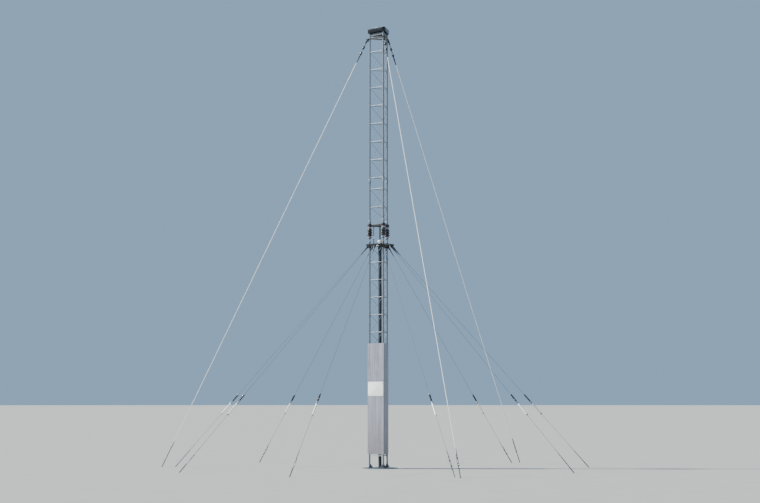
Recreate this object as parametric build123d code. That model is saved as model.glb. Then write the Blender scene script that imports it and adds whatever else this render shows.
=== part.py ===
from build123d import *
from math import atan, cos, degrees, hypot, radians, sin, sqrt
import os

# Guyed lattice mast that works as a short-wave vertical aerial: an earthed lower tower, three post
# insulators at mid height, a live upper tower, a skirt of nine sloping wires and three top guys.
# Millimetres, +Z up. The origin is the centre of the base plate's underside, at ground level.
# The front side faces -Y. The legs stand at 90, 210 and 330 degrees, counted from +X towards +Y.

# Triangular lattice, as stock mast sections come
face_width = 400.0
leg_diameter = 38.1
leg_sides = 12
socket_diameter = 45.0
socket_length = 90.0
rung_diameter = 12.0
brace_diameter = 8.0
bar_sides = 6
seat_gap = 0.25

# Heights of the lower tower
base_plate_thickness = 20.0
lower_rung_start = 278.0
lower_bay_height = 382.0
bottom_section_rungs = 6
middle_section_rungs = 6
top_bay_height = 362.0
lower_top_margin = 18.0

# Heights of the upper tower
frame_depth = 55.0
frame_thickness = 10.0
upper_bay_height = 400.0
short_section_rungs = 2
long_section_rungs = 8
joint_bay_height = 248.0

# Base plate, six-sided, with its bolt circle
base_plate_width = 680.0
base_bolt_circle = 600.0
base_bolt_hole = 22.0
base_bolt_count = 6
base_opening_width = 220.0

# Sheet cladding round the lower tower
cladding_bottom = 310.0
cladding_height = 2400.0
cladding_seam = 1905.0
seam_gap = 3.0
sheet_thickness = 2.0
sheet_lip = 30.0
sheet_clamp_height = 40.0

# Blank sign on the front sheet
sign_width = 440.0
sign_height = 305.0
sign_thickness = 3.0
sign_middle = 1722.0

# Collar at the top of the lower tower: a plate with one flat edge and one lug for each skirt wire
collar_thickness = 12.0
collar_margin = 72.0
collar_opening = 100.0
window_inner = 128.0
window_outer = 236.0
window_narrow = 70.0
window_wide = 190.0

# Post insulators in the gap
stud_diameter = 30.0
stud_length = 147.0
stud_nut_height = 18.0
stud_nut_width = 46.0
cap_diameter = 92.0
cap_sides = 12
cap_height = 44.0
insulator_height = 160.0
insulator_core = 84.0
shed_diameter = 130.0
shed_count = 3
shed_rim = 7.0
shed_slope = 26.0

# Arc gap beside the front left insulator
horn_diameter = 16.0
horn_sides = 8
horn_offset = 118.0
horn_gap = 70.0
horn_stand = 120.0
horn_foot_diameter = 32.0
horn_foot_height = 14.0

# Feed line on the axis
feed_pipe_diameter = 74.0
feed_sides = 20
feed_collet_diameter = 92.0
feed_collet_length = 110.0
feed_flange_diameter = 220.0
feed_flange_thickness = 16.0
end_seal_diameter = 118.0
end_seal_height = 92.0
end_seal_shoulder = 46.0
end_seal_knee_height = 80.0
end_seal_knee_diameter = 94.0
terminal_diameter = 34.0
terminal_height = 16.0
strap_width = 32.0
strap_thickness = 3.0
strap_angle = -49.0
tongue_reach = 18.0

# Top of the mast, from the last section upwards
stub_height = 387.0
guy_plate_thickness = 12.0
guy_plate_rise = 175.0
guy_lug_offset = 62.0
ring_rise = 46.0
ring_depth = 65.0
ring_thickness = 8.0
top_cap_depth = 92.0
top_cap_wall = 6.0
corner_reach = 45.0

# Lug, fork and pin that hold each stay
lug_thickness = 10.0
lug_reach = 42.0
lug_depth = 54.0
lug_hole_inset = 20.0
pin_diameter = 14.0
pin_sides = 8
pin_head_width = 22.0
pin_head_height = 6.0
fork_gap = 1.0
fork_cheek = 6.0
fork_width = 30.0
fork_back = 15.0
fork_throat = 34.0
fork_length = 62.0
stay_sides = 8
wire_sides = 6

# Skirt of sloping wires
skirt_count = 9
skirt_first_angle = 10.0
skirt_foot_radius = 4650.0
grip_length = 190.0
grip_diameter = 28.0
grip_end_diameter = 12.0
skirt_wire_length = 4080.0
skirt_wire_diameter = 5.0
skirt_insulator_length = 250.0
skirt_insulator_diameter = 40.0
ferrule_length = 34.0
ferrule_diameter = 28.0
skirt_rod_length = 350.0
skirt_rod_diameter = 34.0
tail_diameter = 6.0

# Three guys from the top of the mast
guy_foot_margin = 310.0
guy_diameter = 14.0
guy_sides = 12
guy_link_length = 70.0
guy_link_diameter = 12.0
guy_bead_length = 78.0
guy_bead_diameter = 52.0
guy_bead_end_diameter = 30.0
guy_bead_count = 2
guy_socket_length = 180.0
guy_socket_diameter = 30.0

# Ground ends of all stays
turnbuckle_length = 260.0
buckle_body_length = 190.0
buckle_body_width = 34.0
buckle_body_thickness = 16.0
buckle_slot_length = 126.0
buckle_slot_width = 18.0
buckle_screw_diameter = 14.0
buckle_screw_length = 84.0
anchor_length = 220.0
anchor_diameter = 20.0
anchor_head_length = 36.0
anchor_head_diameter = 34.0
anchor_overrun = 60.0

# Places that follow from the sizes above
full_turn = 360.0
leg_angles = (90.0, 210.0, 330.0)
side_angles = {"front": 0.0, "right": 120.0, "left": 240.0}
leg_circle = face_width / sqrt(3)
inner_radius = leg_circle / 2
clear_span = face_width / 2 - leg_diameter / 2
bottom_levels = [lower_rung_start + lower_bay_height * n for n in range(bottom_section_rungs)]
section_joint = bottom_levels[-1] + lower_bay_height / 2
middle_levels = [bottom_levels[-1] + lower_bay_height * (n + 1) for n in range(middle_section_rungs)]
middle_levels.append(middle_levels[-1] + top_bay_height)
lower_top = middle_levels[-1] + lower_top_margin
collar_top = lower_top + collar_thickness
frame_bottom = collar_top + stud_length + 2 * cap_height + insulator_height
frame_middle = frame_bottom + frame_depth / 2
frame_top = frame_bottom + frame_depth
short_levels = [frame_middle + upper_bay_height * (n + 1) for n in range(short_section_rungs)]
upper_joint = short_levels[-1] + joint_bay_height / 2
long_start = short_levels[-1] + joint_bay_height
long_levels = [long_start + upper_bay_height * n for n in range(long_section_rungs)]
long_top = long_levels[-1] + joint_bay_height / 2
stub_top = long_top + stub_height
mast_top = stub_top + top_cap_wall
guy_plate_bottom = long_top + guy_plate_rise
guy_plate_top = guy_plate_bottom + guy_plate_thickness
strap_radius = (inner_radius - frame_thickness / 2) / sin(radians(-strap_angle)) - tongue_reach
sheet_depth = inner_radius + socket_diameter / 2
cladding_top = cladding_bottom + cladding_height
flange_top = collar_top + feed_flange_thickness
skirt_angles = [skirt_first_angle + n * full_turn / skirt_count for n in range(skirt_count)]
collar_reach = leg_circle + collar_margin
skirt_hole_radius = collar_reach - lug_hole_inset
skirt_hole_height = lower_top - lug_depth + lug_hole_inset
guy_hole_radius = leg_circle + guy_lug_offset
guy_hole_height = guy_plate_bottom - lug_depth + lug_hole_inset
guy_lug_reach = guy_lug_offset + lug_hole_inset - leg_diameter / 2 - seat_gap
guy_foot_radius = skirt_foot_radius + guy_foot_margin
pin_hole_width = pin_diameter / cos(radians(full_turn / pin_sides / 2)) + 2 * seat_gap


def prism(width, sides, bottom, top):
    turn = full_turn / sides / 2
    outline = RegularPolygon(width / 2, sides, major_radius=False, rotation=turn)
    return Pos(0, 0, bottom) * extrude(outline, top - bottom)


def taper(width, end_width, sides, bottom, top):
    length = top - bottom
    slant = degrees(atan((width - end_width) / 2 / length))
    outline = RegularPolygon(width / 2, sides, major_radius=False, rotation=full_turn / sides / 2)
    return Pos(0, 0, bottom) * extrude(outline, length, taper=slant)


def turned(shape, angle):
    return Rot(0, 0, angle) * shape


def at_legs(shape):
    return [turned(Pos(leg_circle, 0, 0) * shape, angle) for angle in leg_angles]


def save(shapes, name):
    whole = Compound(children=list(shapes)) if isinstance(shapes, list) else shapes
    whole.label = name
    export_step(whole, f"parts/{name}.step")


# Legs are twelve-sided tubes with a socket at the foot of each upper section

def leg_tube(bottom, top):
    tube = prism(leg_diameter, leg_sides, bottom, top)
    return tube + prism(socket_diameter, leg_sides, bottom, bottom + socket_length)


def lower_legs():
    bottom = at_legs(prism(leg_diameter, leg_sides, base_plate_thickness, section_joint - seat_gap))
    return bottom + at_legs(leg_tube(section_joint, lower_top))


def upper_legs():
    short = at_legs(leg_tube(frame_top, upper_joint - seat_gap))
    return short + at_legs(leg_tube(upper_joint, long_top))


# Lattice sides: level rungs, and a slanting bar across each bay, cut flush with the legs

def bar(start, end, diameter):
    axis = Vector(*end) - Vector(*start)
    profile = Plane(origin=start, z_dir=axis) * RegularPolygon(diameter / 2, bar_sides)
    return extrude(profile, axis.length)


def lattice_side(levels, foot=None):
    depth = -inner_radius
    lows = levels[:-1] if foot is None else [foot] + levels[:-1]
    left, right = -face_width / 2, face_width / 2
    bars = [bar((left, depth, z), (right, depth, z), rung_diameter) for z in levels]
    for low, high in zip(lows, levels[-len(lows):]):
        slope = (high - low) / (2 * clear_span)
        run_out = face_width / 2 - clear_span
        start = (left, depth, low - slope * run_out)
        bars.append(bar(start, (right, depth, high + slope * run_out), brace_diameter))
    side = Part() + bars
    between_legs = Pos(0, depth, mast_top / 2) * Box(2 * clear_span, face_width, mast_top)
    return side & between_legs


def save_lattice():
    lower = [lattice_side(bottom_levels), lattice_side(middle_levels)]
    brace_foot = frame_top + socket_length + brace_diameter
    upper = [lattice_side(short_levels, brace_foot), lattice_side(long_levels)]
    for name, angle in side_angles.items():
        save([turned(panel, angle) for panel in lower], f"lower_lattice_{name}")
        save([turned(panel, angle) for panel in upper], f"upper_lattice_{name}")


# Base plate with its bolt circle

def base_plate():
    plate = prism(base_plate_width, 6, 0, base_plate_thickness)
    plate -= prism(base_opening_width, 6, 0, base_plate_thickness)
    hole = Pos(0, 0, base_plate_thickness / 2) * Cylinder(base_bolt_hole / 2, base_plate_thickness)
    for n in range(base_bolt_count):
        plate -= turned(Pos(base_bolt_circle / 2, 0, 0) * hole, n * full_turn / base_bolt_count)
    return plate


# Cladding: the front sheet laps round both front corners, the right sheet round the back corner

def triangle_prism(inside, bottom, top):
    corners = [(2 * inside * cos(radians(a)), 2 * inside * sin(radians(a))) for a in leg_angles]
    return Pos(0, 0, bottom) * extrude(Polygon(*corners, align=None), top - bottom)


def sheet_layer(inside, bottom, top):
    return triangle_prism(inside + sheet_thickness, bottom, top) - triangle_prism(inside, bottom, top)


def keep_box(x_low, x_high, y_low, y_high):
    box = Box(x_high - x_low, y_high - y_low, mast_top)
    return Pos((x_low + x_high) / 2, (y_low + y_high) / 2, mast_top / 2) * box


def cladding_sheets(side, bottom, top):
    far = 2 * face_width
    lip_rise = sheet_lip * cos(radians(30))
    inner = sheet_layer(sheet_depth, bottom, top)
    outer = sheet_layer(sheet_depth + sheet_thickness, bottom, top)
    outer_tip = 2 * (sheet_depth + 2 * sheet_thickness)
    if side == "front":
        return outer & keep_box(-far, far, -far, lip_rise - sheet_depth)
    if side == "right":
        flat = inner & keep_box(seat_gap, far, -sheet_depth, far)
        return flat + (outer & keep_box(-far, far, outer_tip - 2 * lip_rise, far))
    return inner & keep_box(-far, -seat_gap, -sheet_depth, far)


def cladding(side):
    low = cladding_sheets(side, cladding_bottom, cladding_seam)
    return [low, cladding_sheets(side, cladding_seam + seam_gap, cladding_top)]


def sheet_clamps():
    ring = prism(socket_diameter, leg_sides, 0, sheet_clamp_height)
    ring -= prism(leg_diameter, leg_sides, 0, sheet_clamp_height)
    clamps = []
    for middle in (bottom_levels[0] + lower_bay_height / 2, bottom_levels[-2] - lower_bay_height / 2):
        clamps += at_legs(Pos(0, 0, middle - sheet_clamp_height / 2) * ring)
    return clamps


def sign_plate():
    front = -sheet_depth - 2 * sheet_thickness - sign_thickness / 2
    return Pos(0, front, sign_middle) * Box(sign_width, sign_thickness, sign_height)


# Collar: a plate on the legs, with a hanging lug for each skirt wire

def lug(hole_radius, reach, top):
    middle = hole_radius + lug_hole_inset - reach / 2
    hole_height = top - lug_depth + lug_hole_inset
    plate = Pos(middle, 0, top - lug_depth / 2) * Box(reach, lug_thickness, lug_depth)
    hole = prism(pin_hole_width, pin_sides, -lug_thickness, lug_thickness)
    return plate - Pos(hole_radius, 0, hole_height) * Rot(90, 0, 0) * hole


def collar_plate():
    plate = turned(prism(2 * collar_reach, skirt_count, lower_top, collar_top), skirt_first_angle)
    plate -= prism(collar_opening, feed_sides, lower_top, collar_top)
    corners = [(window_inner, -window_narrow / 2), (window_outer, -window_wide / 2),
               (window_outer, window_wide / 2), (window_inner, window_narrow / 2)]
    window = Pos(0, 0, lower_top) * extrude(Polygon(*corners, align=None), collar_thickness)
    for angle in leg_angles:
        plate -= turned(window, angle + full_turn / 6)
    for angle in skirt_angles:
        plate += turned(lug(skirt_hole_radius, lug_reach, lower_top), angle)
    return plate


# Post insulators: stud, lower cap, ribbed body, upper cap

def insulator_studs():
    stud = prism(stud_diameter, leg_sides, collar_top, collar_top + stud_length)
    for bottom in (collar_top, collar_top + stud_length - stud_nut_height):
        stud += prism(stud_nut_width, 6, bottom, bottom + stud_nut_height)
    return at_legs(stud)


def insulator_caps():
    low = collar_top + stud_length
    high = low + cap_height + insulator_height
    lower = at_legs(prism(cap_diameter, cap_sides, low, low + cap_height))
    return lower + at_legs(prism(cap_diameter, cap_sides, high, high + cap_height))


def post_insulators():
    start = collar_top + stud_length + cap_height
    pitch = insulator_height / shed_count
    body = prism(insulator_core, cap_sides, start, start + insulator_height)
    for n in range(shed_count):
        foot = start + pitch * n + (pitch - shed_rim - shed_slope) / 2
        rim = foot + shed_rim
        body += prism(shed_diameter, cap_sides, foot, rim)
        body += taper(shed_diameter, insulator_core, cap_sides, rim, rim + shed_slope)
    return at_legs(body)


# Triangular frame that carries the upper tower on the insulators

def side_rails(depth, thickness, bottom):
    rail = Pos(0, -inner_radius, bottom + depth / 2) * Box(face_width, thickness, depth)
    return [turned(rail, angle) for angle in side_angles.values()]


def upper_base_frame():
    frame = Part() + at_legs(prism(cap_diameter, leg_sides, frame_bottom, frame_top))
    frame += side_rails(frame_depth, frame_thickness, frame_bottom)
    tongue_length = inner_radius / sin(radians(-strap_angle)) - strap_radius
    tongue = Box(tongue_length, strap_width, frame_depth)
    tongue_place = Pos(strap_radius + tongue_length / 2, 0, frame_middle)
    return frame + turned(tongue_place * tongue, strap_angle)


# Arc gap: one horn hangs from the frame, the other stands on the collar

def arc_horns():
    place = Pos(horn_offset - face_width / 2, -inner_radius, 0)
    tip = collar_top + horn_stand
    lower = prism(horn_diameter, horn_sides, collar_top, tip)
    lower += prism(horn_foot_diameter, 6, collar_top, collar_top + horn_foot_height)
    upper = prism(horn_diameter, horn_sides, tip + horn_gap, frame_bottom)
    upper += prism(horn_foot_diameter, 6, frame_bottom - horn_foot_height, frame_bottom)
    return [place * lower, place * upper]


# Feed line: pipe, flange, ceramic end seal and the strap to the upper tower

def feed_pipe():
    pipe = prism(feed_pipe_diameter, feed_sides, 0, collar_top)
    return pipe + prism(feed_collet_diameter, feed_sides, collar_top - feed_collet_length, collar_top)


def feed_flange():
    return prism(feed_flange_diameter, feed_sides, collar_top, flange_top)


def end_seal():
    widths = (end_seal_diameter, end_seal_knee_diameter, terminal_diameter)
    rises = (end_seal_shoulder, end_seal_knee_height, end_seal_height)
    seal = prism(end_seal_diameter, feed_sides, 0, end_seal_shoulder)
    for n in range(2):
        seal += taper(widths[n], widths[n + 1], feed_sides, rises[n], rises[n + 1])
    return Pos(0, 0, flange_top) * seal


def feed_strap():
    top = flange_top + end_seal_height
    terminal = prism(terminal_diameter, 6, top, top + terminal_height)
    half = strap_thickness / 2
    tap = top + terminal_height + half
    inner = strap_radius - half
    bends = [(-strap_width / 2, 0, tap), (strap_width / 2, 0, tap), (inner, 0, frame_bottom - strap_width)]
    route = Polyline(*bends, (inner, 0, frame_top))
    start = Plane(origin=bends[0], x_dir=(0, 1, 0), z_dir=(1, 0, 0))
    section = start * Rectangle(strap_width, strap_thickness)
    strap = sweep(section, route, transition=Transition.RIGHT)
    return turned(terminal + strap, strap_angle)


# Top of the mast: stub legs and ring, the plate that holds the guys, and a deep-rimmed cap

def corner_outline(reach):
    discs = Sketch() + at_legs(Circle(reach))
    return make_hull(discs.edges())


def top_frame():
    frame = Part() + at_legs(prism(leg_diameter, leg_sides, long_top + seat_gap, stub_top))
    return frame + side_rails(ring_depth, ring_thickness, guy_plate_top + ring_rise)


def guy_plate():
    plate = Pos(0, 0, guy_plate_bottom) * extrude(corner_outline(corner_reach), guy_plate_thickness)
    plate -= prism(2 * inner_radius - 2 * corner_reach, 6, guy_plate_bottom, guy_plate_top)
    for leg in at_legs(prism(leg_diameter + 2 * seat_gap, leg_sides, guy_plate_bottom, guy_plate_top)):
        plate -= leg
    for angle in leg_angles:
        plate += turned(lug(guy_hole_radius, guy_lug_reach, guy_plate_bottom), angle)
    return plate


def top_cap():
    cap = extrude(corner_outline(corner_reach), top_cap_depth)
    cap -= extrude(corner_outline(corner_reach - top_cap_wall), top_cap_depth - top_cap_wall)
    return Pos(0, 0, mast_top - top_cap_depth) * cap


# Fork and pin of a stay, with the hole's centre as origin and the stay running along +Z

def stay_fork():
    opening = lug_thickness / 2 + fork_gap
    outer = 2 * (opening + fork_cheek)
    body = Pos(0, 0, (fork_throat + fork_length) / 2) * Box(outer, fork_width, fork_length - fork_throat)
    for side in (-1, 1):
        cheek = Box(fork_cheek, fork_width, fork_throat + fork_back)
        body += Pos(side * (opening + fork_cheek / 2), 0, (fork_throat - fork_back) / 2) * cheek
    return body - Rot(0, 90, 0) * prism(pin_hole_width, pin_sides, -outer, outer)


def stay_pin():
    half = lug_thickness / 2 + fork_gap + fork_cheek + seat_gap
    pin = prism(pin_diameter, pin_sides, -half, half)
    pin += prism(pin_head_width, 6, half, half + pin_head_height)
    pin += prism(pin_head_width, 6, -half - pin_head_height, -half)
    return Rot(0, 90, 0) * pin


# Fittings of a stay, each with its upper end at the origin and the stay running along +Z

def skirt_insulator():
    body_end = skirt_insulator_length - ferrule_length
    body = prism(skirt_insulator_diameter, stay_sides, ferrule_length, body_end)
    body += prism(ferrule_diameter, stay_sides, 0, ferrule_length)
    return body + prism(ferrule_diameter, stay_sides, body_end, skirt_insulator_length)


def guy_bead():
    half = taper(guy_bead_diameter, guy_bead_end_diameter, stay_sides, 0, guy_bead_length / 2)
    return Pos(0, 0, guy_bead_length / 2) * (half + Rot(180, 0, 0) * half)


def turnbuckle():
    body = Box(buckle_body_width, buckle_body_thickness, buckle_body_length)
    body -= Box(buckle_slot_width, buckle_body_thickness, buckle_slot_length)
    buckle = Pos(0, 0, turnbuckle_length / 2) * body
    buckle += prism(buckle_screw_diameter, wire_sides, 0, buckle_screw_length)
    lower_screw = turnbuckle_length - buckle_screw_length
    return buckle + prism(buckle_screw_diameter, wire_sides, lower_screw, turnbuckle_length)


def anchor_rod():
    rod = prism(anchor_diameter, 6, 0, anchor_length + anchor_overrun)
    return rod + prism(anchor_head_diameter, 6, 0, anchor_head_length)


# Stays: every piece is placed along the straight line from its lug hole to its foot

class Stay:
    def __init__(self, angle, hole_radius, hole_height, foot_radius):
        self.length = hypot(foot_radius - hole_radius, hole_height)
        slope = Vector(foot_radius - hole_radius, 0, -hole_height)
        upright = Plane(origin=(hole_radius, 0, hole_height), x_dir=(0, 1, 0), z_dir=slope)
        self.line = Rot(0, 0, angle) * upright.location
        self.anchor_start = self.length - anchor_length
        self.buckle_start = self.anchor_start - turnbuckle_length

    def put(self, piece, start=0):
        return self.line * Pos(0, 0, start) * piece


def save_skirt(skirt):
    wire_start = fork_length + grip_length
    wire_end = wire_start + skirt_wire_length
    rod_start = wire_end + skirt_insulator_length
    rod_end = rod_start + skirt_rod_length
    grip = taper(grip_diameter, grip_end_diameter, stay_sides, 0, grip_length)
    wire = prism(skirt_wire_diameter, wire_sides, wire_start, wire_end)
    rod = prism(skirt_rod_diameter, stay_sides, rod_start, rod_end)
    save([stay.put(grip, fork_length) for stay in skirt], "skirt_grips")
    for number, stay in enumerate(skirt, 1):
        save(stay.put(wire), f"skirt_wire_{number}")
    insulator = skirt_insulator()
    save([stay.put(insulator, wire_end) for stay in skirt], "skirt_insulators")
    save([stay.put(rod) for stay in skirt], "skirt_rods")
    tail = prism(tail_diameter, wire_sides, rod_end, skirt[0].buckle_start)
    save([stay.put(tail) for stay in skirt], "skirt_tails")


def save_guys(guys):
    step = guy_link_length + guy_bead_length
    link_starts = [fork_length + step * n for n in range(guy_bead_count)]
    bead_starts = [start + guy_link_length for start in link_starts]
    socket_start = fork_length + step * guy_bead_count
    guy_start = socket_start + guy_socket_length
    link = prism(guy_link_diameter, wire_sides, 0, guy_link_length)
    bead = guy_bead()
    socket = taper(guy_socket_diameter, guy_diameter, guy_sides, 0, guy_socket_length)
    guy = prism(guy_diameter, guy_sides, guy_start, guys[0].buckle_start)
    save([stay.put(link, start) for stay in guys for start in link_starts], "guy_links")
    save([stay.put(bead, start) for stay in guys for start in bead_starts], "guy_insulators")
    save([stay.put(socket, socket_start) for stay in guys], "guy_sockets")
    for number, stay in enumerate(guys, 1):
        save(stay.put(guy), f"top_guy_{number}")


def save_ends(stays):
    fork = stay_fork()
    pin = stay_pin()
    buckle = turnbuckle()
    anchor = anchor_rod()
    above_ground = Pos(0, 0, mast_top / 2) * Box(2 * mast_top, 2 * mast_top, mast_top)
    save([stay.put(fork) for stay in stays], "stay_forks")
    save([stay.put(pin) for stay in stays], "stay_pins")
    save([stay.put(buckle, stay.buckle_start) for stay in stays], "turnbuckles")
    save([stay.put(anchor, stay.anchor_start) & above_ground for stay in stays], "anchor_rods")


os.makedirs("parts", exist_ok=True)
save(base_plate(), "base_plate")
save(lower_legs(), "lower_legs")
save(upper_legs(), "upper_legs")
save_lattice()
for side_name in side_angles:
    save(cladding(side_name), f"cladding_{side_name}")
save(sheet_clamps(), "sheet_clamps")
save(sign_plate(), "sign_plate")
save(collar_plate(), "collar_plate")
save(insulator_studs(), "insulator_studs")
save(insulator_caps(), "insulator_caps")
save(post_insulators(), "post_insulators")
save(upper_base_frame(), "upper_base_frame")
save(arc_horns(), "arc_horns")
save(feed_pipe(), "feed_pipe")
save(feed_flange(), "feed_flange")
save(end_seal(), "end_seal")
save(feed_strap(), "feed_strap")
save(top_frame(), "top_frame")
save(guy_plate(), "guy_plate")
save(top_cap(), "top_cap")
skirt_stays = [Stay(angle, skirt_hole_radius, skirt_hole_height, skirt_foot_radius) for angle in skirt_angles]
guy_stays = [Stay(angle, guy_hole_radius, guy_hole_height, guy_foot_radius) for angle in leg_angles]
save_skirt(skirt_stays)
save_guys(guy_stays)
save_ends(skirt_stays + guy_stays)
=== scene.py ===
from math import ceil, cos, pi, radians, sin, sqrt, tau

import bmesh
import bpy
from mathutils import Matrix, Vector, noise


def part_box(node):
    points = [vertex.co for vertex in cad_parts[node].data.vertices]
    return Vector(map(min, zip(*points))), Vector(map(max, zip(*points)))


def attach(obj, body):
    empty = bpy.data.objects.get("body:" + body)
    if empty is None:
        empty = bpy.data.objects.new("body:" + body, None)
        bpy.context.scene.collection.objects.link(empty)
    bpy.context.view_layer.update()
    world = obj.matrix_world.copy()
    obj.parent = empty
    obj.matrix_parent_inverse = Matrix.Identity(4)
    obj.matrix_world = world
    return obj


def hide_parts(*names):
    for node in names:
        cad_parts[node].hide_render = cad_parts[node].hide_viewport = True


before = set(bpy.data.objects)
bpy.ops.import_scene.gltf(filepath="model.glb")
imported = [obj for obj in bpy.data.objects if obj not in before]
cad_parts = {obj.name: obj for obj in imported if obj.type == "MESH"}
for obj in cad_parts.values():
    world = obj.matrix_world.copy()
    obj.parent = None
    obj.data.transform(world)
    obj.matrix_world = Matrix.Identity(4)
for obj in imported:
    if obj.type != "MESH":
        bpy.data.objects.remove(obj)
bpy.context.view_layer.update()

# Guyed lattice mast for a short-wave aerial. Metres, +Z up, the front side faces -Y.
# The legs stand at 90, 210 and 330 degrees; a side of the triangle is turned by 0, 120 or 240.

legAngles = (90.0, 210.0, 330.0)
sideTurns = {"front": 0.0, "right": 120.0, "left": 240.0}


# Mesh helpers

def placed(x=0.0, y=0.0, z=0.0):
    return Matrix.Translation((x, y, z))


def turned(angle, axis="Z"):
    return Matrix.Rotation(radians(angle), 4, axis)


def pour(source, target, place=Matrix()):
    # adds one mesh to another, moved to its place
    carrier = bpy.data.meshes.new("carrier")
    source.to_mesh(carrier)
    source.free()
    carrier.transform(place)
    target.from_mesh(carrier)
    bpy.data.meshes.remove(carrier)


def repeated(bm, places):
    # one mesh, repeated at each place
    carrier = bpy.data.meshes.new("carrier")
    bm.to_mesh(carrier)
    bm.free()
    spread = bmesh.new()
    for place in places:
        moved = carrier.copy()
        moved.transform(place)
        spread.from_mesh(moved)
        bpy.data.meshes.remove(moved)
    bpy.data.meshes.remove(carrier)
    return spread


def partsOf(geom, kind):
    # the vertices, or the edges, among what an operator gives back
    return [part for part in geom if isinstance(part, kind)]


def polyline(bm, points):
    corners = [bm.verts.new(point) for point in points]
    return corners, [bm.edges.new(pair) for pair in zip(corners, corners[1:])]


def rounded(bm, edges, offset, segments=1, clamp=False):
    # broken or rounded edges
    bmesh.ops.bevel(bm, geom=edges, offset=offset, segments=segments, profile=0.5, affect="EDGES",
                    clamp_overlap=clamp, material=-1)


def lathe(bm, profile, steps=24, place=Matrix()):
    # (radius, height) pairs spun once round their own upright axis
    turning = bmesh.new()
    corners, edges = polyline(turning, [(radius, 0.0, height) for radius, height in profile])
    bmesh.ops.spin(turning, geom=corners + edges, cent=(0, 0, 0), axis=(0, 0, 1), angle=tau, steps=steps,
                   use_merge=True)
    bmesh.ops.remove_doubles(turning, verts=turning.verts, dist=0.000001)
    bmesh.ops.recalc_face_normals(turning, faces=turning.faces)
    pour(turning, bm, place)


def drum(bm, radius, low, high, edge=0.001, steps=24, place=Matrix()):
    # a turned disc or post with broken rims
    lathe(bm, [(0.0, low), (radius - edge, low), (radius, low + edge), (radius, high - edge),
               (radius - edge, high), (0.0, high)], steps, place)


def ring(bm, inner, outer, low, high, edge=0.001, steps=24, place=Matrix()):
    # a turned collar or washer
    lathe(bm, [(inner, low), (outer - edge, low), (outer, low + edge), (outer, high - edge),
               (outer - edge, high), (inner, high), (inner, low)], steps, place)


def eye(bm, across, wire, steps=20, place=Matrix()):
    # a round eye or link, lying flat round its own upright axis
    middle = (across - wire) / 2
    around = [radians(36 * n) for n in range(10)]
    loop = [(middle + wire / 2 * cos(a), wire / 2 * sin(a)) for a in around]
    lathe(bm, loop + loop[:1], steps, place)


def alongLine(start, end):
    reach = Vector(end) - Vector(start)
    return Matrix.Translation(start) @ reach.to_track_quat("Z", "Y").to_matrix().to_4x4(), reach.length


def rod(bm, start, end, radius, steps=12):
    place, length = alongLine(start, end)
    bmesh.ops.create_cone(bm, cap_ends=True, segments=steps, radius1=radius, radius2=radius, depth=length,
                          matrix=place @ placed(z=length / 2))


def block(bm, size, place=Matrix(), edge=0.001, segments=2):
    # a bar or plate with broken edges
    made = bmesh.ops.create_cube(bm, size=1.0, matrix=place @ Matrix.Diagonal((*size, 1.0)))["verts"]
    rounded(bm, list({e for v in made for e in v.link_edges}), edge, segments)


def hexagon(bm, width, low, high, place=Matrix(), edge=0.0012):
    # bolt head or nut, its rims chamfered
    nut = bmesh.new()
    bmesh.ops.create_cone(nut, cap_ends=True, segments=6, radius1=width / sqrt(3), radius2=width / sqrt(3),
                          depth=high - low, matrix=placed(z=(low + high) / 2))
    rims = [e for e in nut.edges if abs(e.verts[0].co.z - e.verts[1].co.z) < 0.00001]
    rounded(nut, rims, edge)
    pour(nut, bm, place)


def bolt(bm, place, washer, head, shank=None, steps=14, sides=10):
    # washer: inner and outer radius, low, high, rim; head: width, low, high; shank: radius, low, high, rim
    ring(bm, *washer, steps, place)
    hexagon(bm, *head, place)
    if shank:
        drum(bm, *shank, sides, place)


def threaded(bm, radius, low, high, pitch, steps=16, place=Matrix()):
    # a screw drawn as close rings, because a true helix can't be told from them
    depth = pitch * 0.35
    turns = max(1, round((high - low) / pitch))
    rise = (high - low) / turns
    profile = [(0.0, low)]
    for n in range(turns):
        profile += [(radius - depth, low + rise * n), (radius, low + rise * (n + 0.5))]
    lathe(bm, profile + [(radius - depth, high), (0.0, high)], steps, place)


def weldBead(bm, centre, radius):
    # a bead a little flatter than it is wide
    shape = Matrix.Translation(centre) @ Matrix.Diagonal((radius, radius, radius * 0.8, 1.0))
    bmesh.ops.create_uvsphere(bm, u_segments=8, v_segments=5, radius=1.0, matrix=shape)


def rope(bm, diameter, low, high, lay, place=Matrix(), strands=6, stepAngle=24.0, groove=0.72):
    # laid strands: a lobed ring turned as it is drawn along the axis, once round in each length of lay
    laid = bmesh.new()
    outline = bmesh.ops.create_circle(laid, cap_ends=False, segments=strands * 2, radius=diameter / 2,
                                      matrix=placed(z=low))["verts"]
    for number, vert in enumerate(outline):
        if number % 2:
            vert.co.xy *= groove
    twist = tau * (high - low) / lay
    steps = ceil(twist / radians(stepAngle))
    bmesh.ops.spin(laid, geom=laid.verts[:] + laid.edges[:], cent=(0, 0, 0), axis=(0, 0, 1),
                   dvec=(0, 0, (high - low) / steps), angle=twist, steps=steps)
    bmesh.ops.holes_fill(laid, edges=[e for e in laid.edges if e.is_boundary], sides=0)
    bmesh.ops.recalc_face_normals(laid, faces=laid.faces)
    pour(laid, bm, place)


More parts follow.
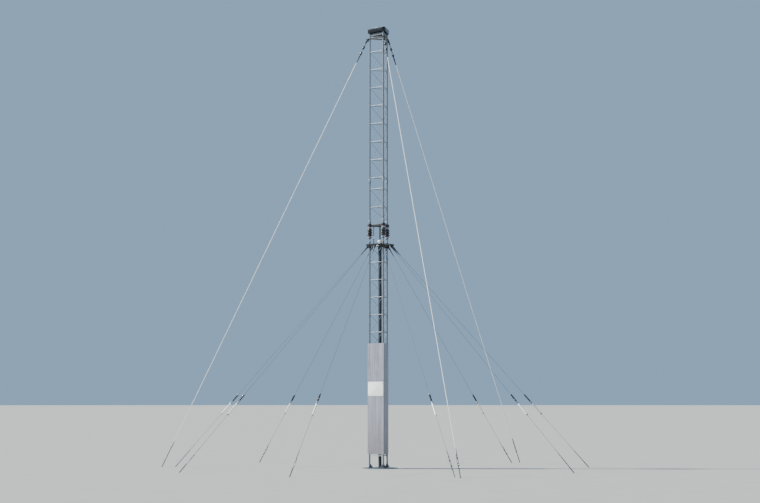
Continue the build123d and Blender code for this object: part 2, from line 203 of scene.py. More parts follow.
def loopLink(bm, wire, width, low, high, place=Matrix()):
    # a closed chain link: one half ring and one straight run, drawn twice
    straight = high - low - width
    link = bmesh.new()
    bmesh.ops.create_circle(link, cap_ends=False, segments=8, radius=wire / 2,
                            matrix=placed((width - wire) / 2, 0.0, low + width / 2))
    drawn = link.verts[:] + link.edges[:]
    for centre, rise in ((high - width / 2, straight), (low + width / 2, -straight)):
        pulled = bmesh.ops.extrude_edge_only(link, edges=partsOf(drawn, bmesh.types.BMEdge))["geom"]
        corners = partsOf(pulled, bmesh.types.BMVert)
        bmesh.ops.translate(link, vec=(0, 0, rise), verts=corners)
        turn = bmesh.ops.spin(link, geom=corners + partsOf(pulled, bmesh.types.BMEdge), cent=(0, 0, centre),
                              axis=(0, -1, 0), angle=pi, steps=8)
        drawn = turn["geom_last"]
    bmesh.ops.remove_doubles(link, verts=link.verts, dist=0.00001)
    bmesh.ops.recalc_face_normals(link, faces=link.faces)
    pour(link, bm, place)


def cadCopy(nodeName, edge=0.0, segments=2):
    # a CAD node's own shape, merged, with its sharp edges broken
    bm = bmesh.new()
    bm.from_mesh(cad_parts[nodeName].data)
    bmesh.ops.remove_doubles(bm, verts=bm.verts, dist=0.00001)
    bmesh.ops.dissolve_limit(bm, angle_limit=radians(1.0), verts=bm.verts, edges=bm.edges)
    if edge:
        sharp = [e for e in bm.edges if e.is_manifold and e.calc_face_angle(0.0) > radians(40)]
        rounded(bm, sharp, edge, segments, True)
    return bm


def finishPiece(name, bm, finish, replaced=(), smoothUnder=35.0):
    # a finish is a material and the slot that it fills, whose name is not used here; edges are smooth under
    # an angle
    for face in bm.faces:
        face.smooth = True
    for edge in bm.edges:
        edge.smooth = edge.is_manifold and edge.calc_face_angle(0.0) < radians(smoothUnder)
    material, slotName = finish
    mesh = bpy.data.meshes.new(name)
    bm.to_mesh(mesh)
    bm.free()
    mesh.materials.append(material)
    piece = bpy.data.objects.new(name, mesh)
    bpy.context.scene.collection.objects.link(piece)
    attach(piece, "root")
    if replaced:
        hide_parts(*replaced)


# Material helpers

def hexColour(code):
    # an sRGB hex value as linear red, green, blue and alpha
    parts = [int(code[i:i + 2], 16) / 255 for i in (1, 3, 5)]
    return (*[c / 12.92 if c <= 0.04045 else ((c + 0.055) / 1.055) ** 2.4 for c in parts], 1.0)


def perMetre(millimetres):
    # a pattern's scale from the real size of its features
    return 1000.0 / millimetres


def addNode(tree, kind, settings=None, links=None):
    # a node with its settings, by property name or socket, and its links, by socket
    made = tree.nodes.new(kind)
    for key, value in (settings or {}).items():
        if isinstance(key, str) and hasattr(made, key):
            setattr(made, key, value)
        else:
            made.inputs[key].default_value = value
    for key, source in (links or {}).items():
        tree.links.new(source, made.inputs[key])
    return made


def blankMaterial(name, shaderSettings):
    material = bpy.data.materials.new(name)
    material.use_nodes = True
    tree = material.node_tree
    tree.nodes.clear()
    shader = addNode(tree, "ShaderNodeBsdfPrincipled", shaderSettings)
    addNode(tree, "ShaderNodeOutputMaterial", None, {"Surface": shader.outputs["BSDF"]})
    coords = addNode(tree, "ShaderNodeTexCoord").outputs["Object"]
    return material, tree, shader, coords


def wired(material, shader, links):
    # joins finished patterns to the shader's own sockets
    for socket, source in links.items():
        material.node_tree.links.new(source, shader.inputs[socket])
    return material


# Materials

zinc = {"bright": "#969ba0", "dull": "#676d73", "stain": "#57524d", "spangle": 9, "weather": 160}
castingZinc = {**zinc, "bright": "#b7aeb2", "dull": "#9a9298", "spangle": 4}


def hotDipZinc(name="hotDipZinc", look=zinc):
    # hot-dip galvanised steel: frozen zinc crystals a few millimetres across, gone dull and streaky outdoors
    material, tree, shader, coords = blankMaterial(name, {"Metallic": 1.0})
    crystals = addNode(tree, "ShaderNodeTexVoronoi", {"Scale": perMetre(look["spangle"])}, {"Vector": coords})
    weather = addNode(tree, "ShaderNodeTexNoise", {"Scale": perMetre(look["weather"]), "Detail": 5.0},
                      {"Vector": coords})
    fine = addNode(tree, "ShaderNodeTexNoise", {"Scale": perMetre(look["spangle"] / 3), "Detail": 4.0},
                   {"Vector": coords})
    facets = addNode(tree, "ShaderNodeMix", {"data_type": "RGBA", 0: 0.55},
                     {6: crystals.outputs["Color"], 7: fine.outputs["Color"]})
    tones = addNode(tree, "ShaderNodeMix", {"data_type": "RGBA", 6: hexColour(look["bright"]),
                                            7: hexColour(look["dull"])}, {0: facets.outputs[2]})
    patches = addNode(tree, "ShaderNodeMapRange", {"From Min": 0.56, "From Max": 0.74, "To Max": 0.7},
                      {"Value": weather.outputs["Fac"]})
    stained = addNode(tree, "ShaderNodeMix", {"data_type": "RGBA", 7: hexColour(look["stain"])},
                      {0: patches.outputs["Result"], 6: tones.outputs[2]})
    dullness = addNode(tree, "ShaderNodeMapRange", {"To Min": 0.36, "To Max": 0.62},
                       {"Value": weather.outputs["Fac"]})
    grain = addNode(tree, "ShaderNodeBump", {"Strength": 0.25, "Distance": 0.0003},
                    {"Height": crystals.outputs["Distance"]})
    return wired(material, shader, {"Base Color": stained.outputs[2],
                                    "Roughness": dullness.outputs["Result"],
                                    "Normal": grain.outputs["Normal"]})


blackPaint = {"paint": "#17191c", "faded": "#2b2e31", "rust": "#3c2118", "chips": 9, "fade": 220,
              "patch": 120}
glossPaint = {**blackPaint, "paint": "#08090b", "faded": "#14161a"}


def paintedSteel(name="blackPaintedSteel", look=blackPaint, roughness=0.42):
    # brushed-on black bitumen paint: half gloss, faded by the sun, rust coming through in small chips
    material, tree, shader, coords = blankMaterial(name, {"IOR": 1.5})
    fade = addNode(tree, "ShaderNodeTexNoise", {"Scale": perMetre(look["fade"]), "Detail": 4.0},
                   {"Vector": coords})
    chips = addNode(tree, "ShaderNodeTexNoise", {"Scale": perMetre(look["chips"]), "Detail": 6.0},
                    {"Vector": coords})
    paint = addNode(tree, "ShaderNodeMix", {"data_type": "RGBA", 6: hexColour(look["paint"]),
                                            7: hexColour(look["faded"])}, {0: fade.outputs["Fac"]})
    patches = addNode(tree, "ShaderNodeTexNoise", {"Scale": perMetre(look["patch"]), "Detail": 2.0},
                      {"Vector": coords})
    spread = addNode(tree, "ShaderNodeMath", {"operation": "MULTIPLY"},
                     {0: chips.outputs["Fac"], 1: patches.outputs["Fac"]})
    worn = addNode(tree, "ShaderNodeMapRange", {"From Min": 0.37, "From Max": 0.43},
                   {"Value": spread.outputs["Value"]})
    colour = addNode(tree, "ShaderNodeMix", {"data_type": "RGBA", 7: hexColour(look["rust"])},
                     {0: worn.outputs["Result"], 6: paint.outputs[2]})
    sheen = addNode(tree, "ShaderNodeMapRange", {"To Min": roughness, "To Max": 0.85},
                    {"Value": worn.outputs["Result"]})
    skin = addNode(tree, "ShaderNodeBump", {"Strength": 0.3, "Distance": 0.0004},
                   {"Height": chips.outputs["Fac"]})
    return wired(material, shader, {"Base Color": colour.outputs[2], "Roughness": sheen.outputs["Result"],
                                    "Normal": skin.outputs["Normal"]})


sheetLook = {"light": "#9a9aa4", "dull": "#7a7c87", "groundReflection": "#5f4d3d", "streakWidth": 22, "streakLength": 700,
             "bloomAndReflection": 180, "reflectionTop": 1.3, "reflectionBottom": 0.3}


def millAluminium(look=sheetLook):
    # mill-finish aluminium sheet: pale and slightly violet, with upright rain streaks, and a painted brown
    # reflection of the ground low down
    material, tree, shader, coords = blankMaterial("millAluminium", {"Metallic": 0.55})
    stretch = look["streakWidth"] / look["streakLength"]
    run = addNode(tree, "ShaderNodeMapping", {"Scale": (1.0, 1.0, stretch)}, {"Vector": coords})
    streaks = addNode(tree, "ShaderNodeTexNoise", {"Scale": perMetre(look["streakWidth"]), "Detail": 4.0},
                      {"Vector": run.outputs["Vector"]})
    bloomAndReflection = addNode(tree, "ShaderNodeTexNoise", {"Scale": perMetre(look["bloomAndReflection"]), "Detail": 5.0},
                    {"Vector": coords})
    streaked = addNode(tree, "ShaderNodeMapRange", {"From Min": 0.35, "From Max": 0.7},
                       {"Value": streaks.outputs["Fac"]})
    metal = addNode(tree, "ShaderNodeMix", {"data_type": "RGBA", 6: hexColour(look["light"]),
                                            7: hexColour(look["dull"])}, {0: streaked.outputs["Result"]})
    height = addNode(tree, "ShaderNodeSeparateXYZ", None, {"Vector": coords})
    # painted reflection: the sheet is tinted brown towards its bottom, in patches, standing in for light
    # reflected from the ground; the same patch noise also sets the dullness
    low = addNode(tree, "ShaderNodeMapRange", {"From Min": look["reflectionTop"], "From Max": look["reflectionBottom"],
                                               "To Max": 0.75}, {"Value": height.outputs["Z"]})
    reflectedGround = addNode(tree, "ShaderNodeMath", {"operation": "MULTIPLY"},
                     {0: low.outputs["Result"], 1: bloomAndReflection.outputs["Fac"]})
    colour = addNode(tree, "ShaderNodeMix", {"data_type": "RGBA", 7: hexColour(look["groundReflection"])},
                     {0: reflectedGround.outputs["Value"], 6: metal.outputs[2]})
    dullness = addNode(tree, "ShaderNodeMapRange", {"To Min": 0.38, "To Max": 0.6},
                       {"Value": bloomAndReflection.outputs["Fac"]})
    skin = addNode(tree, "ShaderNodeBump", {"Strength": 0.15, "Distance": 0.0005},
                   {"Height": streaks.outputs["Fac"]})
    return wired(material, shader, {"Base Color": colour.outputs[2], "Roughness": dullness.outputs["Result"],
                                    "Normal": skin.outputs["Normal"]})


def weathered(name, shaderSettings, look):
    # two tones: a noise of a real size sets where the second lies, and how dull it is; relief has its own
    material, tree, shader, coords = blankMaterial(name, shaderSettings)
    patches = addNode(tree, "ShaderNodeTexNoise", {"Scale": perMetre(look["patch"]),
                                                   "Detail": look["detail"]}, {"Vector": coords})
    low, high, most = look["spread"]
    share = addNode(tree, "ShaderNodeMapRange", {"From Min": low, "From Max": high, "To Max": most},
                    {"Value": patches.outputs["Fac"]})
    colour = addNode(tree, "ShaderNodeMix", {"data_type": "RGBA", 6: hexColour(look["clean"]),
                                             7: hexColour(look["soiled"])}, {0: share.outputs["Result"]})
    links = {"Base Color": colour.outputs[2]}
    if "roughness" in look:
        smooth, dull = look["roughness"]
        sheen = addNode(tree, "ShaderNodeMapRange", {"To Min": smooth, "To Max": dull},
                        {"Value": patches.outputs["Fac"]})
        links["Roughness"] = sheen.outputs["Result"]
    if "relief" in look:
        size, detail, stretch, strength = look["relief"]
        drawn = addNode(tree, "ShaderNodeMapping", {"Scale": (1.0, 1.0, stretch)}, {"Vector": coords})
        lines = addNode(tree, "ShaderNodeTexNoise", {"Scale": perMetre(size), "Detail": detail},
                        {"Vector": drawn.outputs["Vector"]})
        skin = addNode(tree, "ShaderNodeBump", {"Strength": strength, "Distance": 0.0003},
                       {"Height": lines.outputs["Fac"]})
        links["Normal"] = skin.outputs["Normal"]
    return wired(material, shader, links)


# stoved white enamel on steel: a clean gloss, a little yellow and grime in places
glossCoat = {"IOR": 1.5, "Coat Weight": 0.3, "Coat Roughness": 0.12}
enamel = {"clean": "#f4f4f1", "soiled": "#d9d5c8", "patch": 90, "detail": 6.0, "spread": (0.5, 0.85, 0.5),
          "roughness": (0.2, 0.42)}
# extruded black polyethylene: satin, chalked by sunlight, faint draw lines along its length
jacket = {"clean": "#14171b", "soiled": "#343b42", "patch": 240, "detail": 5.0, "spread": (0.0, 1.0, 1.0),
          "roughness": (0.38, 0.62), "relief": (3, 2.0, 0.02, 0.2)}
# steel wire rope, its zinc long gone: dark grey, oily between the strands
drawnWire = {"clean": "#26282a", "soiled": "#55595c", "patch": 25, "detail": 5.0, "spread": (0.0, 1.0, 1.0),
             "roughness": (0.35, 0.7)}
# white polyester and glass fibre under a gelled skin: matt, greyed a little by dust
fibre = {"clean": "#f1f1ed", "soiled": "#c9c5ba", "patch": 60, "detail": 6.0, "spread": (0.45, 0.85, 0.6),
         "relief": (60, 6.0, 1.0, 0.2)}


porcelain = {"pool": 30, "dust": 70}


def glazedPorcelain(name, glaze, pooled, dust):
    # fired porcelain: a glassy coat, darker where the glaze has pooled, dust on it
    material, tree, shader, coords = blankMaterial(name, {"IOR": 1.52, "Coat Weight": 0.6,
                                                          "Coat Roughness": 0.05})
    pooling = addNode(tree, "ShaderNodeTexNoise", {"Scale": perMetre(porcelain["pool"]), "Detail": 3.0},
                      {"Vector": coords})
    dusting = addNode(tree, "ShaderNodeTexNoise", {"Scale": perMetre(porcelain["dust"]), "Detail": 6.0},
                      {"Vector": coords})
    fired = addNode(tree, "ShaderNodeMix", {"data_type": "RGBA", 6: hexColour(glaze), 7: hexColour(pooled)},
                    {0: pooling.outputs["Fac"]})
    settled = addNode(tree, "ShaderNodeMapRange", {"From Min": 0.5, "From Max": 0.9, "To Max": 0.35},
                      {"Value": dusting.outputs["Fac"]})
    colour = addNode(tree, "ShaderNodeMix", {"data_type": "RGBA", 7: hexColour(dust)},
                     {0: settled.outputs["Result"], 6: fired.outputs[2]})
    sheen = addNode(tree, "ShaderNodeMapRange", {"To Min": 0.12, "To Max": 0.4},
                    {"Value": dusting.outputs["Fac"]})
    return wired(material, shader, {"Base Color": colour.outputs[2], "Roughness": sheen.outputs["Result"]})


verdigris = {"brown": "#5c4030", "green": "#2f8078", "crust": 18, "edge": (0.38, 0.56)}


def patinatedCopper():
    # copper strip left outdoors: green verdigris over brown, bright metal nowhere
    material, tree, shader, coords = blankMaterial("patinatedCopper", {"IOR": 1.5})
    low, high = verdigris["edge"]
    crust = addNode(tree, "ShaderNodeTexNoise", {"Scale": perMetre(verdigris["crust"]), "Detail": 7.0},
                    {"Vector": coords})
    covered = addNode(tree, "ShaderNodeMapRange", {"From Min": low, "From Max": high},
                      {"Value": crust.outputs["Fac"]})
    bare = addNode(tree, "ShaderNodeMapRange", {"From Min": high, "From Max": low, "To Max": 0.6},
                   {"Value": crust.outputs["Fac"]})
    colour = addNode(tree, "ShaderNodeMix", {"data_type": "RGBA", 6: hexColour(verdigris["brown"]),
                                             7: hexColour(verdigris["green"])},
                     {0: covered.outputs["Result"]})
    sheen = addNode(tree, "ShaderNodeMapRange", {"To Min": 0.5, "To Max": 0.85},
                    {"Value": covered.outputs["Result"]})
    skin = addNode(tree, "ShaderNodeBump", {"Strength": 0.5, "Distance": 0.0004},
                   {"Height": crust.outputs["Fac"]})
    return wired(material, shader, {"Metallic": bare.outputs["Result"], "Base Color": colour.outputs[2],
                                    "Roughness": sheen.outputs["Result"], "Normal": skin.outputs["Normal"]})


zincSteel = hotDipZinc(), "galvanised_steel"
zincOnDark = zincSteel[0], "dark_steel"
darkSteel = paintedSteel(), "dark_steel"
darkOnZinc = darkSteel[0], "galvanised_steel"
capPaint = paintedSteel("blackGlossPaint", glossPaint, 0.24), "dark_steel"
castZinc = hotDipZinc("galvanisedCasting", castingZinc), "galvanised_steel"
aluminiumSheet = millAluminium(), "cladding_sheet"
whiteEnamel = weathered("whiteStovedEnamel", glossCoat, enamel), "sign_white"
brownGlaze = glazedPorcelain("brownGlazedPorcelain", "#1d1413", "#0b0909", "#4b4440"), "dark_insulator"
whiteGlaze = glazedPorcelain("whiteGlazedPorcelain", "#f3f2ec", "#e6e5dd", "#c2beb3"), "white_ceramic"
pipeJacket = weathered("blackPolyethylene", {"IOR": 1.51}, jacket), "pipe_jacket"
greenCopper = patinatedCopper(), "copper"
wireRope = weathered("weatheredWireRope", {"Metallic": 0.6}, drawnWire), "wire_steel"
glassFibre = weathered("whiteGlassFibre", {"IOR": 1.5, "Roughness": 0.45}, fibre), "white_rod"
print("materials made")


# Legs: welded tubes with a swaged socket at the foot of each upper section, held by two bolts

mast = {"face": 0.400, "legRadius": 0.01905, "socketRadius": 0.0225, "socketLength": 0.09, "wall": 0.002,
        "gap": 0.00025}
socketBolt = {"heights": (0.028, 0.062), "radius": 0.0048, "across": 0.016, "nut": 0.007, "end": 0.010}
legCircle = mast["face"] / sqrt(3)
sideDepth = legCircle / 2
railHalf = 0.005  # half the thickness of the base frame's rails
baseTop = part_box("base_plate")[1].z
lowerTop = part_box("lower_legs")[1].z
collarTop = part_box("collar_plate")[1].z
frameBottom, frameTop = (corner.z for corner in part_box("upper_base_frame"))
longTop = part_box("upper_legs")[1].z
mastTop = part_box("top_cap")[1].z

lowerRungs = {"first": 0.278, "bay": 0.382, "perSection": 6, "topBay": 0.362}
bottomLevels = [lowerRungs["first"] + lowerRungs["bay"] * n for n in range(lowerRungs["perSection"])]
middleLevels = [bottomLevels[-1] + lowerRungs["bay"] * (n + 1) for n in range(lowerRungs["perSection"])]
middleLevels.append(middleLevels[-1] + lowerRungs["topBay"])
lowerJoint = bottomLevels[-1] + lowerRungs["bay"] / 2

upperRungs = {"bay": 0.4, "shortCount": 2, "longCount": 8, "jointBay": 0.248}
frameMiddle = (frameBottom + frameTop) / 2
shortLevels = [frameMiddle + upperRungs["bay"] * (n + 1) for n in range(upperRungs["shortCount"])]
longStart = shortLevels[-1] + upperRungs["jointBay"]
longLevels = [longStart + upperRungs["bay"] * n for n in range(upperRungs["longCount"])]
upperJoint = shortLevels[-1] + upperRungs["jointBay"] / 2

atLegs = [turned(angle) @ placed(legCircle) for angle in legAngles]


def legSection(bm, low, high, socket):
    radius = mast["legRadius"]
    drum(bm, radius, low, high, steps=28)
    if not socket:
        return
    outer = mast["socketRadius"]
    top = low + mast["socketLength"]
    inner = radius - mast["wall"]
    lathe(bm, [(inner, low), (outer - 0.0015, low), (outer, low + 0.0015), (outer, top - 0.006),
               (outer - 0.001, top - 0.003), (radius, top + 0.004), (inner, top), (inner, low)], 28)
    for height, turn in zip(socketBolt["heights"], (0.0, 90.0)):
        place = placed(z=low + height) @ turned(turn) @ turned(90, "Y")
        bolt(bm, place, (0.005, 0.0105, outer - 0.001, outer + 0.0012, 0.0004),
             (socketBolt["across"], outer - 0.0005, outer - 0.0005 + socketBolt["nut"]),
             (socketBolt["radius"], -outer - socketBolt["end"], outer + 0.011, 0.0008))
        hexagon(bm, socketBolt["across"], -outer - 0.0075, -outer + 0.0005, place)


def makeLegs():
    lower = bmesh.new()
    legSection(lower, baseTop, lowerJoint - mast["gap"], False)
    legSection(lower, lowerJoint, lowerTop, True)
    finishPiece("lower_leg_tubes", repeated(lower, atLegs), zincSteel, ["lower_legs"])
    upper = bmesh.new()
    legSection(upper, frameTop, upperJoint - mast["gap"], True)
    legSection(upper, upperJoint, longTop, True)
    finishPiece("upper_leg_tubes", repeated(upper, atLegs), zincSteel, ["upper_legs"])


# Lattice sides: round rungs and slanting braces, welded to the legs at both ends

brace = {"rung": 0.006, "slanting": 0.004, "rungWeld": 0.0095, "slantingWeld": 0.007, "sink": 0.003}


def latticeSide(bm, levels, foot=None):
    reach = mast["face"] / 2 - mast["legRadius"] + brace["sink"]
    lows = levels[:-1] if foot is None else [foot] + levels[:-1]
    bars = [(z, z, "rung") for z in levels]
    bars += [(low, high, "slanting") for low, high in zip(lows, levels[-len(lows):])]
    for low, high, kind in bars:
        start, end = Vector((-reach, -sideDepth, low)), Vector((reach, -sideDepth, high))
        rod(bm, start, end, brace[kind])
        for corner in (start, end):
            weldBead(bm, corner, brace[kind + "Weld"])


def makeLattice():
    braceFoot = frameTop + mast["socketLength"] + 2 * brace["slanting"]
    for side, turn in sideTurns.items():
        lower = bmesh.new()
        latticeSide(lower, bottomLevels)
        latticeSide(lower, middleLevels)
        bmesh.ops.rotate(lower, cent=(0, 0, 0), matrix=turned(turn), verts=lower.verts)
        finishPiece("lower_braces_" + side, lower, zincSteel, ["lower_lattice_" + side])
        upper = bmesh.new()
        latticeSide(upper, shortLevels, braceFoot)
        latticeSide(upper, longLevels)
        bmesh.ops.rotate(upper, cent=(0, 0, 0), matrix=turned(turn), verts=upper.verts)
        finishPiece("upper_braces_" + side, upper, zincSteel, ["upper_lattice_" + side])


# Base plate with a ribbed foot under each leg

foot = {"ribs": 3, "ribReach": 0.055, "ribHeight": 0.075, "ribLip": 0.012, "ribTop": 0.008,
        "ribThickness": 0.008, "ringRadius": 0.034, "ringHeight": 0.012, "sink": 0.001}


def makeBase():
    plate = cadCopy("base_plate", 0.002)
    shoe = bmesh.new()
    leg = mast["legRadius"]
    inner, outer, shoulder = leg - foot["sink"], leg + foot["ribReach"], leg + foot["ribTop"]
    ring(shoe, inner, foot["ringRadius"], 0, foot["ringHeight"], 0.003, 28)
    for n in range(foot["ribs"]):
        rib = bmesh.new()
        corners = [rib.verts.new((x, 0, z)) for x, z in
                   ((inner, 0), (outer, 0), (outer, foot["ribLip"]), (shoulder, foot["ribHeight"]),
                    (inner, foot["ribHeight"]))]
        rib.faces.new(corners)
        rib.normal_update()
        bmesh.ops.solidify(rib, geom=rib.faces[:], thickness=foot["ribThickness"])
        bmesh.ops.translate(rib, vec=(0, -foot["ribThickness"] / 2, 0), verts=rib.verts)
        rounded(rib, rib.edges[:], 0.001)
        bmesh.ops.recalc_face_normals(rib, faces=rib.faces)
        pour(rib, shoe, turned(180 + 90 * (n - 1)))
    pour(repeated(shoe, [placed(z=baseTop) @ place for place in atLegs]), plate)
    finishPiece("footed_base_plate", plate, zincSteel, ["base_plate"])


# Sheet cladding: folded aluminium sheets, slightly dished between their fixings, and dome rivets

sheets = {"bottom": 0.310, "seam": 1.905, "seamGap": 0.003, "top": 2.710, "thickness": 0.002, "lip": 0.030,
          "bend": 0.016, "tipGap": 0.005, "leftTuck": 0.008, "rightTuck": 0.004, "row": 0.08,
          "columns": 12, "dish": 0.0011, "waves": (5.0, 5.0, 2.3), "rivet": 0.0042, "rivetPitch": 0.155,
          "rivetMargin": 0.04}
sheetDepth = sideDepth + mast["socketRadius"]
sign = {"width": 0.44, "height": 0.305, "thickness": 0.003, "middle": 1.722, "corner": 0.018, "bolt": 0.011,
        "inset": 0.024}


def sheetPath(side):
    # outer line of a sheet seen from above, before it is turned to its side: the front sheet wraps both
    # its neighbours, the right one wraps the left one, and each wrap is a lip on the next side
    lip = Vector((sheets["lip"] * cos(radians(60)), sheets["lip"] * sin(radians(60)), 0))
    inner = sheetDepth + sheets["thickness"]
    span = inner * sqrt(3)
    start = Vector((-span + sheets["tipGap"], -inner, 0))
    if side == "left":
        return [start, Vector((span - sheets["leftTuck"], -inner, 0))]
    depth = inner + sheets["thickness"]
    span = depth * sqrt(3)
    left, right = Vector((-span, -depth, 0)), Vector((span, -depth, 0))
    end = right + Vector((-lip.x, lip.y, 0))
    if side == "front":
        return [left + lip, left, right, end]
    return [start, Vector((span - sheets["rightTuck"], -inner, 0)), end]


def foldedSheet(bm, side, low, high):
    # drawn up row by row, folded, then dished by a noise that fades out towards the corners
    sheet = bmesh.new()
    drawn = polyline(sheet, [point + Vector((0, 0, low)) for point in sheetPath(side)])[1]
    rows = ceil((high - low) / sheets["row"])
    for n in range(rows):
        pulled = bmesh.ops.extrude_edge_only(sheet, edges=drawn)["geom"]
        drawn = [e for e in partsOf(pulled, bmesh.types.BMEdge) if all(v in pulled for v in e.verts)]
        bmesh.ops.translate(sheet, vec=(0, 0, (high - low) / rows),
                            verts=partsOf(pulled, bmesh.types.BMVert))
    folds = [e for e in sheet.edges if len(e.link_faces) == 2 and e.calc_face_angle(0.0) > radians(30)]
    if folds:
        rounded(sheet, folds, sheets["bend"], 4)
    wide = [e for e in sheet.edges if e.calc_length() > mast["face"] * 0.75]
    bmesh.ops.subdivide_edges(sheet, edges=wide, cuts=sheets["columns"] - 1, use_grid_fill=True)
    sheet.normal_update()
    for vert in sheet.verts:
        fromCorner = max(0.0, 1 - (vert.co.xy.length / (sheetDepth * 1.72)) ** 4)
        swell = noise.noise(vert.co * Vector(sheets["waves"]))
        vert.co += vert.normal * swell * sheets["dish"] * fromCorner
    bmesh.ops.recalc_face_normals(sheet, faces=sheet.faces)
    widest = max(sheet.faces, key=lambda face: face.calc_area())
    if widest.normal.y > 0:
        bmesh.ops.reverse_faces(sheet, faces=sheet.faces)
    sheet.normal_update()
    bmesh.ops.solidify(sheet, geom=sheet.faces[:], thickness=sheets["thickness"])
    pour(sheet, bm)


def rivetLine(bm, x, low, high, depth, covered):
    # no rivets at the heights that a sign covers
    count = max(2, round((high - low) / sheets["rivetPitch"]))
    for n in range(count + 1):
        height = low + (high - low) * n / count
        if covered[0] < height < covered[1]:
            continue
        size = sheets["rivet"]
        lathe(bm, [(0.0, 0.0022), (size * 0.5, 0.0019), (size * 0.85, 0.001), (size, -0.0004),
                   (0.0, -0.0004)], 10, placed(x, -depth, height) @ turned(90, "X"))


def makeCladding():
    spans = ((sheets["bottom"], sheets["seam"]), (sheets["seam"] + sheets["seamGap"], sheets["top"]))
    margin = sheets["rivetMargin"]
    behindSign = [sign["middle"] + way * (sign["height"] / 2 + 0.006) for way in (-1, 1)]
    for side, turn in sideTurns.items():
        covered = behindSign if side == "front" else (0.0, 0.0)
        clad = bmesh.new()
        for low, high in spans:
            foldedSheet(clad, side, low, high)
        bmesh.ops.rotate(clad, cent=(0, 0, 0), matrix=turned(turn), verts=clad.verts)
        finishPiece("folded_sheet_" + side, clad, aluminiumSheet, ["cladding_" + side], 30)
        face = sheetDepth + sheets["thickness"] * (2 if side == "front" else 1)
        rivets = bmesh.new()
        for low, high in spans:
            for x in (-mast["face"] / 2, mast["face"] / 2):  # in line with the legs
                rivetLine(rivets, x, low + margin, high - margin, face, covered)
        finishPiece("rivets_" + side, repeated(rivets, [turned(turn)]), zincSteel)
    finishPiece("sheet_clamp_rings", cadCopy("sheet_clamps", 0.002), zincSteel, ["sheet_clamps"])


# Blank sign: an enamelled plate with rounded corners, bolted through the sheet

def makeSign():
    back = -(sheetDepth + 2 * sheets["thickness"])
    plate = bmesh.new()
    size = Matrix.Diagonal((sign["width"], sign["thickness"], sign["height"], 1.0))
    bmesh.ops.create_cube(plate, size=1.0,
                          matrix=placed(0, back - sign["thickness"] / 2, sign["middle"]) @ size)
    across = [e for e in plate.edges if abs(e.verts[0].co.y - e.verts[1].co.y) > 0.001]
    rounded(plate, across, sign["corner"], 6)
    front = [e for e in plate.edges if all(v.co.y < back - sign["thickness"] * 0.9 for v in e.verts)]
    rounded(plate, front, 0.001, 2)
    finishPiece("enamel_sign", plate, whiteEnamel, ["sign_plate"])
    bolts = bmesh.new()
    for x in (-1, 1):
        for z in (-1, 1):
            place = placed(x * (sign["width"] / 2 - sign["inset"]), back - sign["thickness"],
                           sign["middle"] + z * (sign["height"] / 2 - sign["inset"])) @ turned(90, "X")
            bolt(bolts, place, (0.003, 0.0085, -0.0005, 0.0012, 0.0004), (sign["bolt"], 0.001, 0.0055))
    finishPiece("sign_bolts", bolts, zincSteel)


# Collar: the lugged plate, split clamps that grip the legs under it, and its welds

collar = {"clampHeight": 0.05, "clampRadius": 0.031, "clampDrop": 0.012, "ear": 0.03, "earWidth": 0.018,
          "boltHead": 0.0169, "lugRoot": legCircle + 0.030, "lugEnd": legCircle + 0.072, "lugHalf": 0.005,
          "seam": 0.0035, "skirtFirst": 10.0, "skirtCount": 9}
skirtAngles = [collar["skirtFirst"] + 360 / collar["skirtCount"] * n for n in range(collar["skirtCount"])]


def makeCollar():
    plate = cadCopy("collar_plate", 0.0015)
    seams = bmesh.new()
    for angle in skirtAngles:
        for side in (-1, 1):
            place = turned(angle) @ placed(collar["lugRoot"], side * collar["lugHalf"], lowerTop)
            end = place @ Vector((collar["lugEnd"] - collar["lugRoot"], 0, 0))
            rod(seams, place.translation, end, collar["seam"], 8)
    pour(seams, plate)
    finishPiece("lugged_collar", plate, darkSteel, ["collar_plate"])
    clamp = bmesh.new()
    height, reach = collar["clampHeight"], collar["ear"]
    top = lowerTop - collar["clampDrop"]
    ring(clamp, mast["legRadius"] - 0.001, collar["clampRadius"], top - height, top, 0.003, 28)
    for side in (-1, 1):
        ear = placed(0, side * (collar["clampRadius"] + reach / 2 - 0.004), top - height / 2)
        block(clamp, (collar["earWidth"], reach, height * 0.9), ear, 0.003)
        cross = ear @ turned(90, "Y")
        drum(clamp, 0.005, -0.02, 0.022, 0.0008, 10, cross)
        hexagon(clamp, collar["boltHead"], 0.009, 0.017, cross)
        hexagon(clamp, collar["boltHead"], -0.017, -0.009, cross)
    finishPiece("leg_clamps", repeated(clamp, atLegs), darkSteel)


# Post insulators: threaded stud with nuts and washers, cast caps, ribbed glazed body

standOff = {"stud": 0.015, "studLength": 0.147, "nut": 0.046, "nutHeight": 0.018, "lockNut": 0.045,
            "lockNutHeight": 0.012, "washer": 0.030, "washerHeight": 0.003, "pitch": 0.0035, "cap": 0.046,
            "capHeight": 0.044, "capFlange": 0.012, "capBolts": 4, "body": 0.160, "core": 0.042,
            "shed": 0.065, "sheds": 3}


def makeStuds():
    low, high = collarTop, collarTop + standOff["studLength"]
    thin, tall = standOff["washerHeight"], standOff["nutHeight"]
    lock = low + standOff["lockNut"]
    stud = bmesh.new()
    threaded(stud, standOff["stud"], low, high, standOff["pitch"], 20)
    for start, height in ((low + thin, tall), (high - tall - thin, tall), (lock, standOff["lockNutHeight"])):
        hexagon(stud, standOff["nut"], start, start + height, edge=0.003)
    for start in (low, high - thin, lock - thin):
        ring(stud, standOff["stud"] - 0.001, standOff["washer"], start, start + thin, 0.0008, 28)
    finishPiece("threaded_studs", repeated(stud, atLegs), zincSteel, ["insulator_studs"])


